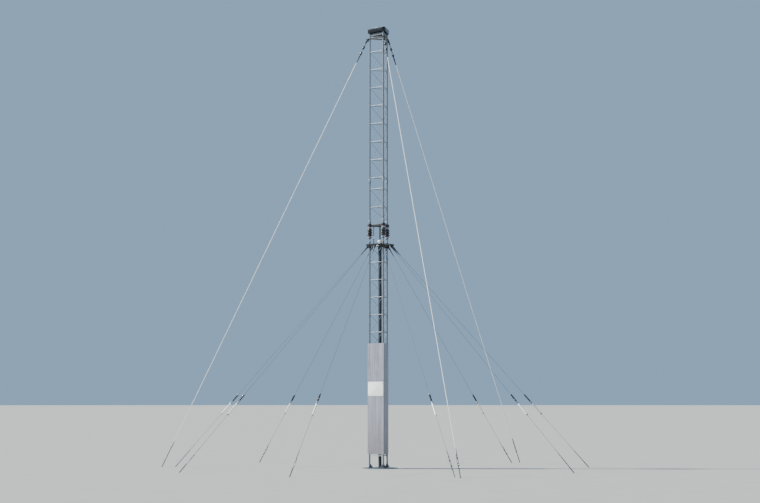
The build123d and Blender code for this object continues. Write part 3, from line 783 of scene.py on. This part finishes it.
def makeCaps():
    caps = bmesh.new()
    radius, height = standOff["cap"], standOff["capHeight"]
    lowerStart = collarTop + standOff["studLength"]
    upperStart = lowerStart + height + standOff["body"]
    flange, waist = standOff["capFlange"], radius * 0.86
    outline = [(0.0, 0.0), (radius - 0.003, 0.0), (radius, 0.003), (radius, flange - 0.002),
               (radius - 0.002, flange), (waist + 0.003, flange + 0.001), (waist, flange + 0.004),
               (waist, height - 0.006), (waist - 0.005, height), (0.0, height)]
    for place in (placed(z=lowerStart), placed(z=upperStart + height) @ turned(180, "X")):
        lathe(caps, outline, 36, place)
        for n in range(standOff["capBolts"]):
            spot = turned(360 / standOff["capBolts"] * (n + 0.5)) @ placed(radius - 0.0055, 0, flange)
            hexagon(caps, 0.009, -0.001, 0.005, place @ spot, 0.0008)
    finishPiece("cast_caps", repeated(caps, atLegs), castZinc, ["insulator_caps"])


def ribbedBody(bm, core, shed, low, high, count, steps, place=Matrix()):
    # each shed: undercut drip edge, rounded rim, sloping top, and a fillet into the core
    pitch = (high - low) / count
    profile = [(0.0, low), (core, low)]
    for n in range(count):
        start = low + pitch * n
        drop = shed - core
        profile += [(core, start + pitch * 0.08), (core + drop * 0.10, start + pitch * 0.14),
                    (core + drop * 0.72, start + pitch * 0.17), (shed - drop * 0.12, start + pitch * 0.10),
                    (shed - drop * 0.02, start + pitch * 0.13), (shed, start + pitch * 0.20),
                    (shed - drop * 0.03, start + pitch * 0.28), (shed - drop * 0.14, start + pitch * 0.37),
                    (core + drop * 0.38, start + pitch * 0.60), (core + drop * 0.12, start + pitch * 0.76),
                    (core, start + pitch * 0.92)]
    lathe(bm, profile + [(core, high), (0.0, high)], steps, place)


def makePostInsulators():
    low = collarTop + standOff["studLength"] + standOff["capHeight"]
    body = bmesh.new()
    ribbedBody(body, standOff["core"], standOff["shed"], low, low + standOff["body"], standOff["sheds"], 48)
    finishPiece("ribbed_posts", repeated(body, atLegs), brownGlaze, ["post_insulators"], 50)


# Base frame of the upper tower, with gussets and bolts in its corners

gussetBolt = {"washer": (0.005, 0.0135, 0.0, 0.0022, 0.0006), "head": (0.019, 0.002, 0.0105),
              "shank": (0.006, 0.0, 0.017, 0.001), "steps": 18}


def makeBaseFrame():
    frameSteel = cadCopy("upper_base_frame", 0.0018)
    corner = bmesh.new()
    for side in (-1, 1):
        for along in (0.085, 0.135):
            # the rails leave each corner at 30 degrees to the line to the axis
            rail = turned(180 + side * 30) @ placed(along, -side * railHalf, frameMiddle)
            bolt(corner, rail @ turned(90 * side, "X"), **gussetBolt)
    ring(corner, 0.012, 0.040, frameTop - 0.001, frameTop + 0.006, 0.0025, 32)
    hexagon(corner, standOff["nut"], frameBottom - 0.001, frameBottom + 0.001)
    pour(repeated(corner, atLegs), frameSteel)
    finishPiece("bolted_base_frame", frameSteel, darkSteel, ["upper_base_frame"])


# Arc gap: two round horns with ball ends beside the front left insulator

horns = {"across": 0.118, "radius": 0.008, "gap": 0.070, "stand": 0.120, "ball": 0.013, "nut": 0.024,
         "nutHeight": 0.012, "washer": 0.016, "washerHeight": 0.003}


def makeHorns():
    pair = bmesh.new()
    tip = collarTop + horns["stand"]
    place = placed(horns["across"] - mast["face"] / 2, -sideDepth)
    ends = ((collarTop, tip, 1), (frameBottom, tip + horns["gap"], -1))
    for start, end, way in ends:
        washerEnd = start + way * horns["washerHeight"]
        nutEnd = washerEnd + way * horns["nutHeight"]
        drum(pair, horns["radius"], *sorted((start, end - way * horns["ball"] * 1.6)), 0.001, 16, place)
        bmesh.ops.create_uvsphere(pair, u_segments=20, v_segments=12, radius=horns["ball"],
                                  matrix=place @ placed(z=end - way * horns["ball"]))
        hexagon(pair, horns["nut"], *sorted((washerEnd, nutEnd)), place, 0.002)
        ring(pair, 0.007, horns["washer"], *sorted((start, washerEnd)), 0.0008, 20, place)
    finishPiece("ball_horns", pair, darkOnZinc, ["arc_horns"])


# Feed line: jacketed pipe with band clamps, bolted flange, glazed end seal, copper strap

feed = {"pipe": 0.037, "collet": 0.046, "colletLength": 0.110, "band": 0.007, "flange": 0.110,
        "flangeHeight": 0.016, "boltInset": 0.022, "bolts": 6, "seal": 0.059, "sealHeight": 0.092,
        "terminal": 0.017, "terminalHeight": 0.016, "strapWidth": 0.032, "strapThickness": 0.003,
        "strapAngle": -49.0, "strapBend": 0.028, "tongue": 0.018}
flangeTop = collarTop + feed["flangeHeight"]
strapRadius = (sideDepth - railHalf) / sin(radians(-feed["strapAngle"])) - feed["tongue"]
flangeBolt = {"washer": (0.006, 0.0125, -0.0025, -0.0005, 0.0005), "head": (0.018, -0.001, 0.009),
              "shank": (0.0055, 0.0, 0.014, 0.001), "steps": 18, "sides": 12}


def makeFeedPipe():
    pipe = bmesh.new()
    colletLow = collarTop - feed["colletLength"]
    wide, waist, length = feed["collet"], feed["collet"] - 0.003, feed["colletLength"]
    drum(pipe, feed["pipe"], 0.0, colletLow + 0.01, 0.001, 48)
    lathe(pipe, [(0.0, -0.010), (feed["pipe"] + 0.0015, -0.010), (wide - 0.002, 0.0), (wide, 0.004),
                 (wide, 0.036), (waist, 0.040), (waist, 0.048), (wide, 0.052), (wide, length), (0.0, length)],
          48, placed(z=colletLow))
    finishPiece("jacketed_pipe", pipe, pipeJacket, ["feed_pipe"])
    bands = bmesh.new()
    for level in middleLevels[1:-1:2]:
        ring(bands, feed["pipe"] - 0.001, feed["pipe"] + 0.0016, level - feed["band"], level + feed["band"],
             0.0005, 48)
        screw = placed(feed["pipe"] + 0.004, 0, level) @ turned(90, "X")
        drum(bands, 0.0045, -0.012, 0.012, 0.0008, 12, screw)
        hexagon(bands, 0.008, 0.012, 0.017, screw, 0.0006)
    finishPiece("pipe_bands", bands, zincSteel)


def makeFlange():
    radius = feed["flange"]
    flange = bmesh.new()
    ring(flange, feed["seal"] - 0.012, radius, collarTop, flangeTop - 0.002, 0.0015, 56)
    drum(flange, feed["seal"] + 0.008, flangeTop - 0.003, flangeTop, 0.0012, 48)
    for n in range(feed["bolts"]):
        spot = placed(radius - feed["boltInset"], 0, flangeTop)
        bolt(flange, turned(360 / feed["bolts"] * (n + 0.5)) @ spot, **flangeBolt)
    finishPiece("bolted_flange", flange, darkSteel, ["feed_flange"])


def makeEndSeal():
    # three low ribs under a rounded shoulder
    bell = bmesh.new()
    radius, height, shoulder = feed["seal"], feed["sealHeight"], 0.049
    profile = [(0.0, 0.0), (radius - 0.002, 0.0), (radius, 0.002)]
    for start in (0.004, 0.019, 0.034):
        profile += [(radius, start + 0.002), (radius, start + 0.007), (radius - 0.003, start + 0.010),
                    (radius - 0.005, start + 0.0125)]
    for angle in range(0, 90, 10):
        profile.append((feed["terminal"] + (radius - 0.003 - feed["terminal"]) * cos(radians(angle)),
                        shoulder + (height - shoulder) * sin(radians(angle))))
    profile += [(feed["terminal"] + 0.004, height), (0.0, height)]
    lathe(bell, profile, 56, placed(z=flangeTop))
    finishPiece("glazed_end_seal", bell, whiteGlaze, ["end_seal"], 50)


def makeStrap():
    # a bent copper strip, bolted to the terminal and to the base frame
    top = flangeTop + feed["sealHeight"]
    tap = top + feed["terminalHeight"] + feed["strapThickness"] / 2
    inner = strapRadius - feed["strapThickness"] / 2
    half = feed["strapWidth"] / 2
    bends = [(-half, tap), (half, tap), (inner, frameBottom - feed["strapWidth"]), (inner, frameTop)]
    strip = bmesh.new()
    line = polyline(strip, [(x, -half, z) for x, z in bends])[1]
    pulled = bmesh.ops.extrude_edge_only(strip, edges=line)["geom"]
    bmesh.ops.translate(strip, vec=(0, 2 * half, 0), verts=partsOf(pulled, bmesh.types.BMVert))
    rounded(strip, [e for e in strip.edges if len(e.link_faces) == 2], feed["strapBend"], 6)
    bmesh.ops.recalc_face_normals(strip, faces=strip.faces)
    strip.normal_update()
    for vert in strip.verts:
        vert.co += vert.normal * feed["strapThickness"] / 2
    bmesh.ops.solidify(strip, geom=strip.faces[:], thickness=feed["strapThickness"])
    sharp = [e for e in strip.edges if e.is_manifold and e.calc_face_angle(0.0) > radians(60)]
    rounded(strip, sharp, 0.0006)
    finishPiece("copper_strap", repeated(strip, [turned(feed["strapAngle"])]), greenCopper, ["feed_strap"])
    fixings = bmesh.new()
    threaded(fixings, 0.007, top, tap + 0.022, 0.002, 16)
    ring(fixings, 0.006, feed["terminal"], top - 0.001, tap - 0.0016, 0.002, 28)
    hexagon(fixings, 0.021, tap + 0.003, tap + 0.013)
    ring(fixings, 0.006, 0.0135, tap + 0.001, tap + 0.0035, 0.0006, 20)
    for rise in (0.016, 0.04):
        place = turned(feed["strapAngle"]) @ placed(inner, 0, frameBottom + rise) @ turned(-90, "Y")
        bolt(fixings, place, (0.003, 0.0085, 0.0012, 0.003, 0.0005), (0.0125, 0.0025, 0.009), steps=16)
    finishPiece("strap_fixings", fixings, zincSteel)


# Top of the mast: stub legs and ring, guy plate, deep-rimmed cap

topRing = {"bottom": 9.4995, "depth": 0.065, "thickness": 0.008, "bolts": (-0.15, -0.05, 0.05, 0.15),
           "washer": (0.004, 0.0095, -0.0004, 0.0015, 0.0004), "head": (0.014, 0.001, 0.0075),
           "plateDrop": 0.046}
capNut = {"washer": (0.004, 0.014, -0.0005, 0.0015, 0.0005), "head": (0.019, -0.001, 0.007), "steps": 20}


def makeTop():
    stubs = bmesh.new()
    low, high = (corner.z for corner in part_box("top_frame"))
    legSection(stubs, low, high, False)
    top = repeated(stubs, atLegs)
    for turn in sideTurns.values():
        rail = turned(turn) @ placed(0, -sideDepth, topRing["bottom"] + topRing["depth"] / 2)
        block(top, (mast["face"], topRing["thickness"], topRing["depth"]), rail, 0.002)
        for x in topRing["bolts"]:
            place = rail @ placed(x, -topRing["thickness"] / 2) @ turned(90, "X")
            bolt(top, place, topRing["washer"], topRing["head"])
    finishPiece("ringed_stub_legs", top, zincSteel, ["top_frame"])
    plate = cadCopy("guy_plate", 0.0015)
    seams = bmesh.new()
    ring(seams, mast["legRadius"] - 0.001, mast["legRadius"] + 0.006, -0.001, 0.005, 0.003, 28)
    plateTop = topRing["bottom"] - topRing["plateDrop"]
    pour(repeated(seams, [placed(z=plateTop) @ place for place in atLegs]), plate)
    finishPiece("lugged_guy_plate", plate, darkSteel, ["guy_plate"])
    cap = cadCopy("top_cap", 0.0025, 3)
    nuts = bmesh.new()
    bolt(nuts, placed(z=mastTop), **capNut)
    pour(repeated(nuts, atLegs), cap)
    finishPiece("black_cap", cap, capPaint, ["top_cap"])


# Stays: local frames along the line from each lug hole to its foot, local Z down the stay

skirt = {"hole": legCircle + 0.052, "holeHeight": 4.826, "foot": 4.650, "fork": 0.062, "grip": 0.190,
         "gripDiameter": 0.024, "gripLay": 0.085, "wire": 4.080, "wireDiameter": 0.005, "wireLay": 0.16,
         "insulator": 0.250, "ferrule": 0.034, "core": 0.013, "shed": 0.020, "sheds": 8, "rod": 0.350,
         "rodRadius": 0.017, "sleeve": 0.03, "tailDiameter": 0.006, "tailLay": 0.10}
guy = {"hole": legCircle + 0.062, "holeHeight": 9.4075, "foot": 4.960, "fork": 0.062, "link": 0.070,
       "linkWire": 0.009, "linkWidth": 0.036, "bead": 0.078, "beadRadius": 0.026, "beads": 2, "socket": 0.180,
       "diameter": 0.014, "lay": 0.24}
groundEnd = {"buckle": 0.260, "anchor": 0.220, "eye": 0.028, "eyeWire": 0.008}


def stayLine(angle, sizes):
    drop = Vector((sizes["foot"] - sizes["hole"], 0, -sizes["holeHeight"]))
    along = drop.normalized()
    across = Vector((0, 1, 0))
    upright = Matrix((across, along.cross(across), along)).transposed().to_4x4()
    return turned(angle) @ placed(sizes["hole"], 0, sizes["holeHeight"]) @ upright, drop.length


skirtLines = [stayLine(angle, skirt) for angle in skirtAngles]
guyLines = [stayLine(angle, guy) for angle in legAngles]
skirtPlaces = [line for line, length in skirtLines]
guyPlaces = [line for line, length in guyLines]
bucklePlaces = [line @ placed(z=length - groundEnd["anchor"] - groundEnd["buckle"])
                for line, length in skirtLines + guyLines]
anchorPlaces = [line @ placed(z=length - groundEnd["anchor"]) for line, length in skirtLines + guyLines]


forkBolt = {"radius": 0.007, "half": 0.020, "across": 0.022, "head": (0.01225, 0.0195),
            "washer": (0.0115, 0.0130)}


def makeForks():
    finishPiece("forged_forks", cadCopy("stay_forks", 0.0018), darkSteel, ["stay_forks"])
    pin = bmesh.new()
    drum(pin, forkBolt["radius"], -forkBolt["half"], forkBolt["half"], 0.001, 16, turned(90, "Y"))
    for way in (90, -90):
        hexagon(pin, forkBolt["across"], *forkBolt["head"], turned(way, "Y"), 0.0015)
        ring(pin, 0.006, 0.0125, *forkBolt["washer"], 0.0004, 18, turned(way, "Y"))
    finishPiece("fork_bolts", repeated(pin, skirtPlaces + guyPlaces), zincOnDark, ["stay_pins"])


def makeSkirt():
    wireStart = skirt["fork"] + skirt["grip"]
    wireEnd = wireStart + skirt["wire"]
    rodStart = wireEnd + skirt["insulator"]
    rodEnd = rodStart + skirt["rod"]
    grip = bmesh.new()
    rope(grip, skirt["gripDiameter"], skirt["fork"] - 0.002, wireStart, skirt["gripLay"], strands=5,
         stepAngle=18, groove=0.74)
    for vert in grip.verts:  # it tapers towards the wire
        along = max(0.0, (vert.co.z - skirt["fork"]) / skirt["grip"])
        vert.co.xy *= 1.1 - 0.6 * along ** 1.4
    finishPiece("wrapped_grips", repeated(grip, skirtPlaces), darkSteel, ["skirt_grips"], 60)
    for number, line in enumerate(skirtPlaces, 1):
        wire = bmesh.new()
        rope(wire, skirt["wireDiameter"], wireStart - 0.01, wireEnd + 0.005, skirt["wireLay"], line)
        finishPiece(f"laid_skirt_wire_{number}", wire, wireRope, [f"skirt_wire_{number}"], 70)
    body = bmesh.new()
    ribbedBody(body, skirt["core"], skirt["shed"], wireEnd + skirt["ferrule"], rodStart - skirt["ferrule"],
               skirt["sheds"], 28)
    finishPiece("ribbed_skirt_insulators", repeated(body, skirtPlaces), brownGlaze,
                ["skirt_insulators"], 50)
    ferrules = bmesh.new()
    for place in (placed(z=wireEnd), placed(z=rodStart) @ turned(180, "X")):
        lathe(ferrules, [(0.0, 0.0), (0.009, 0.0), (0.0105, 0.0015), (0.0105, 0.010), (0.0125, 0.013),
                         (0.014, 0.018), (0.014, 0.033), (0.0128, 0.036), (0.0, 0.036)], 24, place)
    finishPiece("insulator_ferrules", repeated(ferrules, skirtPlaces), zincSteel)
    strain = bmesh.new()
    drum(strain, skirt["rodRadius"], rodStart, rodEnd, 0.0015)
    finishPiece("strain_rods", repeated(strain, skirtPlaces), glassFibre, ["skirt_rods"])
    sleeves = bmesh.new()
    for low in (rodStart, rodEnd - skirt["sleeve"]):
        ring(sleeves, skirt["rodRadius"] - 0.001, skirt["rodRadius"] + 0.0013, low, low + skirt["sleeve"])
    finishPiece("rod_sleeves", repeated(sleeves, skirtPlaces), zincSteel)
    tail = bmesh.new()
    length = skirtLines[0][1] - groundEnd["anchor"] - groundEnd["buckle"]
    rope(tail, skirt["tailDiameter"], rodEnd - 0.01, length + 0.01, skirt["tailLay"])
    finishPiece("laid_tails", repeated(tail, skirtPlaces), wireRope, ["skirt_tails"], 70)


def makeGuys():
    step = guy["link"] + guy["bead"]
    links = bmesh.new()
    beads = bmesh.new()
    for n in range(guy["beads"]):
        low = guy["fork"] + step * n
        start = low + guy["link"]
        loopLink(links, guy["linkWire"], guy["linkWidth"], low - 0.006, start + 0.012, turned(90 * n))
        # a full egg with a groove just past its middle and a small flat face at each end
        half = guy["bead"] / 2
        profile = [(0.0, start)]
        for turn in range(0, 181, 15):
            swell = 1.0 - 0.22 * abs(cos(radians(turn))) ** 6
            wide = guy["beadRadius"] * sin(radians(turn)) ** 0.55 * swell if 0 < turn < 180 else 0.008
            profile.append((wide, start + half - half * cos(radians(turn))))
        profile.insert(8, (0.0225, start + half + 0.0005))
        lathe(beads, profile + [(0.0, start + guy["bead"])], 32)
    finishPiece("guy_chain_links", repeated(links, guyPlaces), darkSteel, ["guy_links"], 60)
    finishPiece("strain_beads", repeated(beads, guyPlaces), brownGlaze, ["guy_insulators"], 50)
    low = guy["fork"] + step * guy["beads"]
    high = low + guy["socket"]
    socket = bmesh.new()
    lathe(socket, [(0.0, low), (0.011, low), (0.014, low + 0.003), (0.015, low + 0.010), (0.015, low + 0.055),
                   (0.0135, low + 0.058), (0.0135, low + 0.064), (0.015, low + 0.067), (0.0145, low + 0.080),
                   (0.0095, high - 0.012), (0.0085, high), (0.0, high)], 28)
    finishPiece("swaged_sockets", repeated(socket, guyPlaces), darkSteel, ["guy_sockets"])
    for number, (line, length) in enumerate(guyLines, 1):
        laid = bmesh.new()
        end = length - groundEnd["anchor"] - groundEnd["buckle"]
        rope(laid, guy["diameter"], high - 0.01, end + 0.006, guy["lay"], line, stepAngle=20, groove=0.86)
        finishPiece(f"laid_guy_{number}", laid, glassFibre, [f"top_guy_{number}"], 70)


# Turnbuckles: two heads joined by two rails, with a screw, a lock nut and an eye at each end

screwBody = {"length": 0.190, "width": 0.034, "thickness": 0.016, "head": 0.032, "rail": 0.008, "nut": 0.021,
             "nutHeight": 0.008, "screw": 0.007, "reach": 0.084, "pitch": 0.0025, "sink": 0.005}


def turnbuckleBody(bm):
    width, thickness, head = screwBody["width"], screwBody["thickness"], screwBody["head"]
    half = screwBody["length"] / 2
    middle = groundEnd["buckle"] / 2
    for side in (-1, 1):
        rail = placed(side * (width / 2 - 0.005), 0, middle)
        block(bm, (screwBody["rail"], thickness * 0.8, 2 * (half - head) + 0.016), rail, 0.0025)
        block(bm, (width, thickness, head), placed(z=middle + side * (half - head / 2)), 0.004, 3)
        nut = placed(z=middle) @ turned(90 - 90 * side, "X")
        hexagon(bm, screwBody["nut"], half + 0.001, half + 0.001 + screwBody["nutHeight"], nut)


def makeTurnbuckles():
    buckle = bmesh.new()
    turnbuckleBody(buckle)
    end, reach, sink = groundEnd["buckle"], screwBody["reach"], screwBody["sink"]
    ringHalf = groundEnd["eye"] / 2
    for low, high in ((ringHalf + sink, reach), (end - reach, end - ringHalf + sink)):
        threaded(buckle, screwBody["screw"], low, high, screwBody["pitch"], 14)
    for middle in (sink, end + sink):
        eye(buckle, groundEnd["eye"], groundEnd["eyeWire"], 20, placed(z=middle) @ turned(90, "Y"))
    finishPiece("open_turnbuckles", repeated(buckle, bucklePlaces), zincOnDark, ["turnbuckles"])


tailEnd = {"width": 0.028, "reachBack": 0.068, "tail": 0.20, "clips": (-0.085, -0.150), "clipNut": 0.008,
           "clipLeg": 0.002}


def makeTailEnds():
    # each tail is turned back round a thimble and held by two clips, whose sizes follow the wire
    wire, width, high = skirt["tailDiameter"], tailEnd["width"], groundEnd["eyeWire"]
    low = high - tailEnd["reachBack"]
    turns = bucklePlaces[:len(skirtLines)]
    end = bmesh.new()
    loopLink(end, wire, width, low, high)
    rope(end, wire, -tailEnd["tail"], low + 0.004, skirt["tailLay"], placed(wire))
    finishPiece("turned_back_tails", repeated(end, turns), wireRope)
    thimble = bmesh.new()
    loopLink(thimble, wire * 0.8, width - wire * 1.3, low + wire, high - wire * 0.55)
    for clip in tailEnd["clips"]:
        middle = placed(wire / 2, 0, clip)
        block(thimble, (wire * 3.2, wire * 1.7, wire * 1.9), middle @ placed(0, wire * 0.5), 0.0015)
        for side in (-1, 1):
            leg = middle @ placed(side * wire * 1.15, 0, 0) @ turned(90, "X")
            drum(thimble, tailEnd["clipLeg"], -wire * 2.1, wire * 0.9, 0.0004, 8, leg)
            hexagon(thimble, tailEnd["clipNut"], -wire * 1.9, -wire * 1.35, leg, 0.0006)
    finishPiece("thimbles_and_clips", repeated(thimble, turns), zincSteel)


jaw = {"cheek": (0.005, 0.020, 0.042), "apart": 0.0105, "pin": 0.0045, "pinHalf": 0.016}


def makeGuyEnds():
    # a poured socket with a jaw takes each guy to its turnbuckle
    end = bmesh.new()
    lathe(end, [(0.0, -0.150), (0.009, -0.150), (0.0105, -0.146), (0.0115, -0.10), (0.015, -0.035),
                (0.016, -0.030), (0.016, -0.022), (0.0, -0.022)], 24)
    for side in (-1, 1):
        block(end, jaw["cheek"], placed(side * jaw["apart"], 0, -0.003), 0.002)
    drum(end, jaw["pin"], -jaw["pinHalf"], jaw["pinHalf"], 0.0008, 12, placed(z=-0.0005) @ turned(90, "Y"))
    turns = [place @ turned(90) for place in bucklePlaces[len(skirtLines):]]
    finishPiece("poured_sockets", repeated(end, turns), zincSteel)


anchorEye = {"across": 0.034, "wire": 0.010, "radius": 0.010, "length": 0.29}


def makeAnchors():
    # eyed rods, drawn past the ground and cut off level just above it
    anchor = bmesh.new()
    across, radius, length = anchorEye["across"], anchorEye["radius"], anchorEye["length"]
    eye(anchor, across, anchorEye["wire"], 24, placed(z=across / 2) @ turned(90, "X"))
    lathe(anchor, [(0.0, 0.028), (0.0075, 0.028), (0.0085, 0.034), (radius, 0.048), (radius, length),
                   (0.0, length)], 20)
    rods = repeated(anchor, anchorPlaces)
    bmesh.ops.bisect_plane(rods, geom=rods.verts[:] + rods.edges[:] + rods.faces[:], plane_co=(0, 0, 0.0003),
                           plane_no=(0, 0, -1), clear_outer=True)
    bmesh.ops.holes_fill(rods, edges=[e for e in rods.edges if e.is_boundary], sides=0)
    finishPiece("eyed_anchor_rods", rods, darkSteel, ["anchor_rods"])


for stage in (makeLegs, makeLattice, makeBase, makeCladding, makeSign, makeCollar, makeStuds, makeCaps,
              makePostInsulators, makeBaseFrame, makeHorns, makeFeedPipe, makeFlange, makeEndSeal, makeStrap,
              makeTop, makeForks, makeSkirt, makeGuys, makeTurnbuckles, makeTailEnds, makeGuyEnds,
              makeAnchors):
    stage()
    print("made:", stage.__name__)


# Studio: pale floor, pale blue-grey surround, one soft sun and the surround's own light

studio = {"surround": "#93b3d3", "surroundStrength": 0.95, "sunHeight": 38.0, "sunTurn": -50.0,
          "sunWidth": 5.0, "sunStrength": 9.5, "floorRadius": 400.0}
view = {"azimuth": -48.0, "distance": 38.69, "eye": 1.5, "lens": 84.0, "sensor": 36.0, "aim": 4.72,
        "reach": 1000.0}
# dry cement screed, faintly mottled
screed = {"clean": "#adaba3", "soiled": "#a3a199", "patch": 900, "detail": 4.0, "spread": (0.0, 1.0, 1.0)}


def makeStudio():
    bm = bmesh.new()
    bmesh.ops.create_circle(bm, cap_ends=True, segments=96, radius=studio["floorRadius"])
    mesh = bpy.data.meshes.new("studio_floor")
    bm.to_mesh(mesh)
    bm.free()
    mesh.materials.append(weathered("paleScreed", {"Roughness": 0.8}, screed))
    floor = bpy.data.objects.new("studio_floor", mesh)
    bpy.context.scene.collection.objects.link(floor)
    world = bpy.data.worlds.new("studioSurround")
    world.use_nodes = True
    surround = world.node_tree.nodes["Background"]
    surround.inputs["Color"].default_value = hexColour(studio["surround"])
    surround.inputs["Strength"].default_value = studio["surroundStrength"]
    bpy.context.scene.world = world
    lamp = bpy.data.lights.new("softSun", "SUN")
    lamp.angle = radians(studio["sunWidth"])
    lamp.energy = studio["sunStrength"]
    sun = bpy.data.objects.new("softSun", lamp)
    sun.rotation_euler = (radians(90 - studio["sunHeight"]), 0, radians(studio["sunTurn"]))
    bpy.context.scene.collection.objects.link(sun)


def makeCamera():
    camera = bpy.data.cameras.new("photographView")
    camera.lens = view["lens"]
    camera.sensor_width = view["sensor"]
    camera.clip_end = view["reach"]
    viewer = bpy.data.objects.new("photographView", camera)
    turn = radians(view["azimuth"])
    viewer.location = (view["distance"] * cos(turn), view["distance"] * sin(turn), view["eye"])
    aim = Vector((0, 0, view["aim"])) - viewer.location
    viewer.rotation_euler = aim.to_track_quat("-Z", "Y").to_euler()
    bpy.context.scene.collection.objects.link(viewer)
    bpy.context.scene.camera = viewer


makeStudio()
makeCamera()
print("studio made")
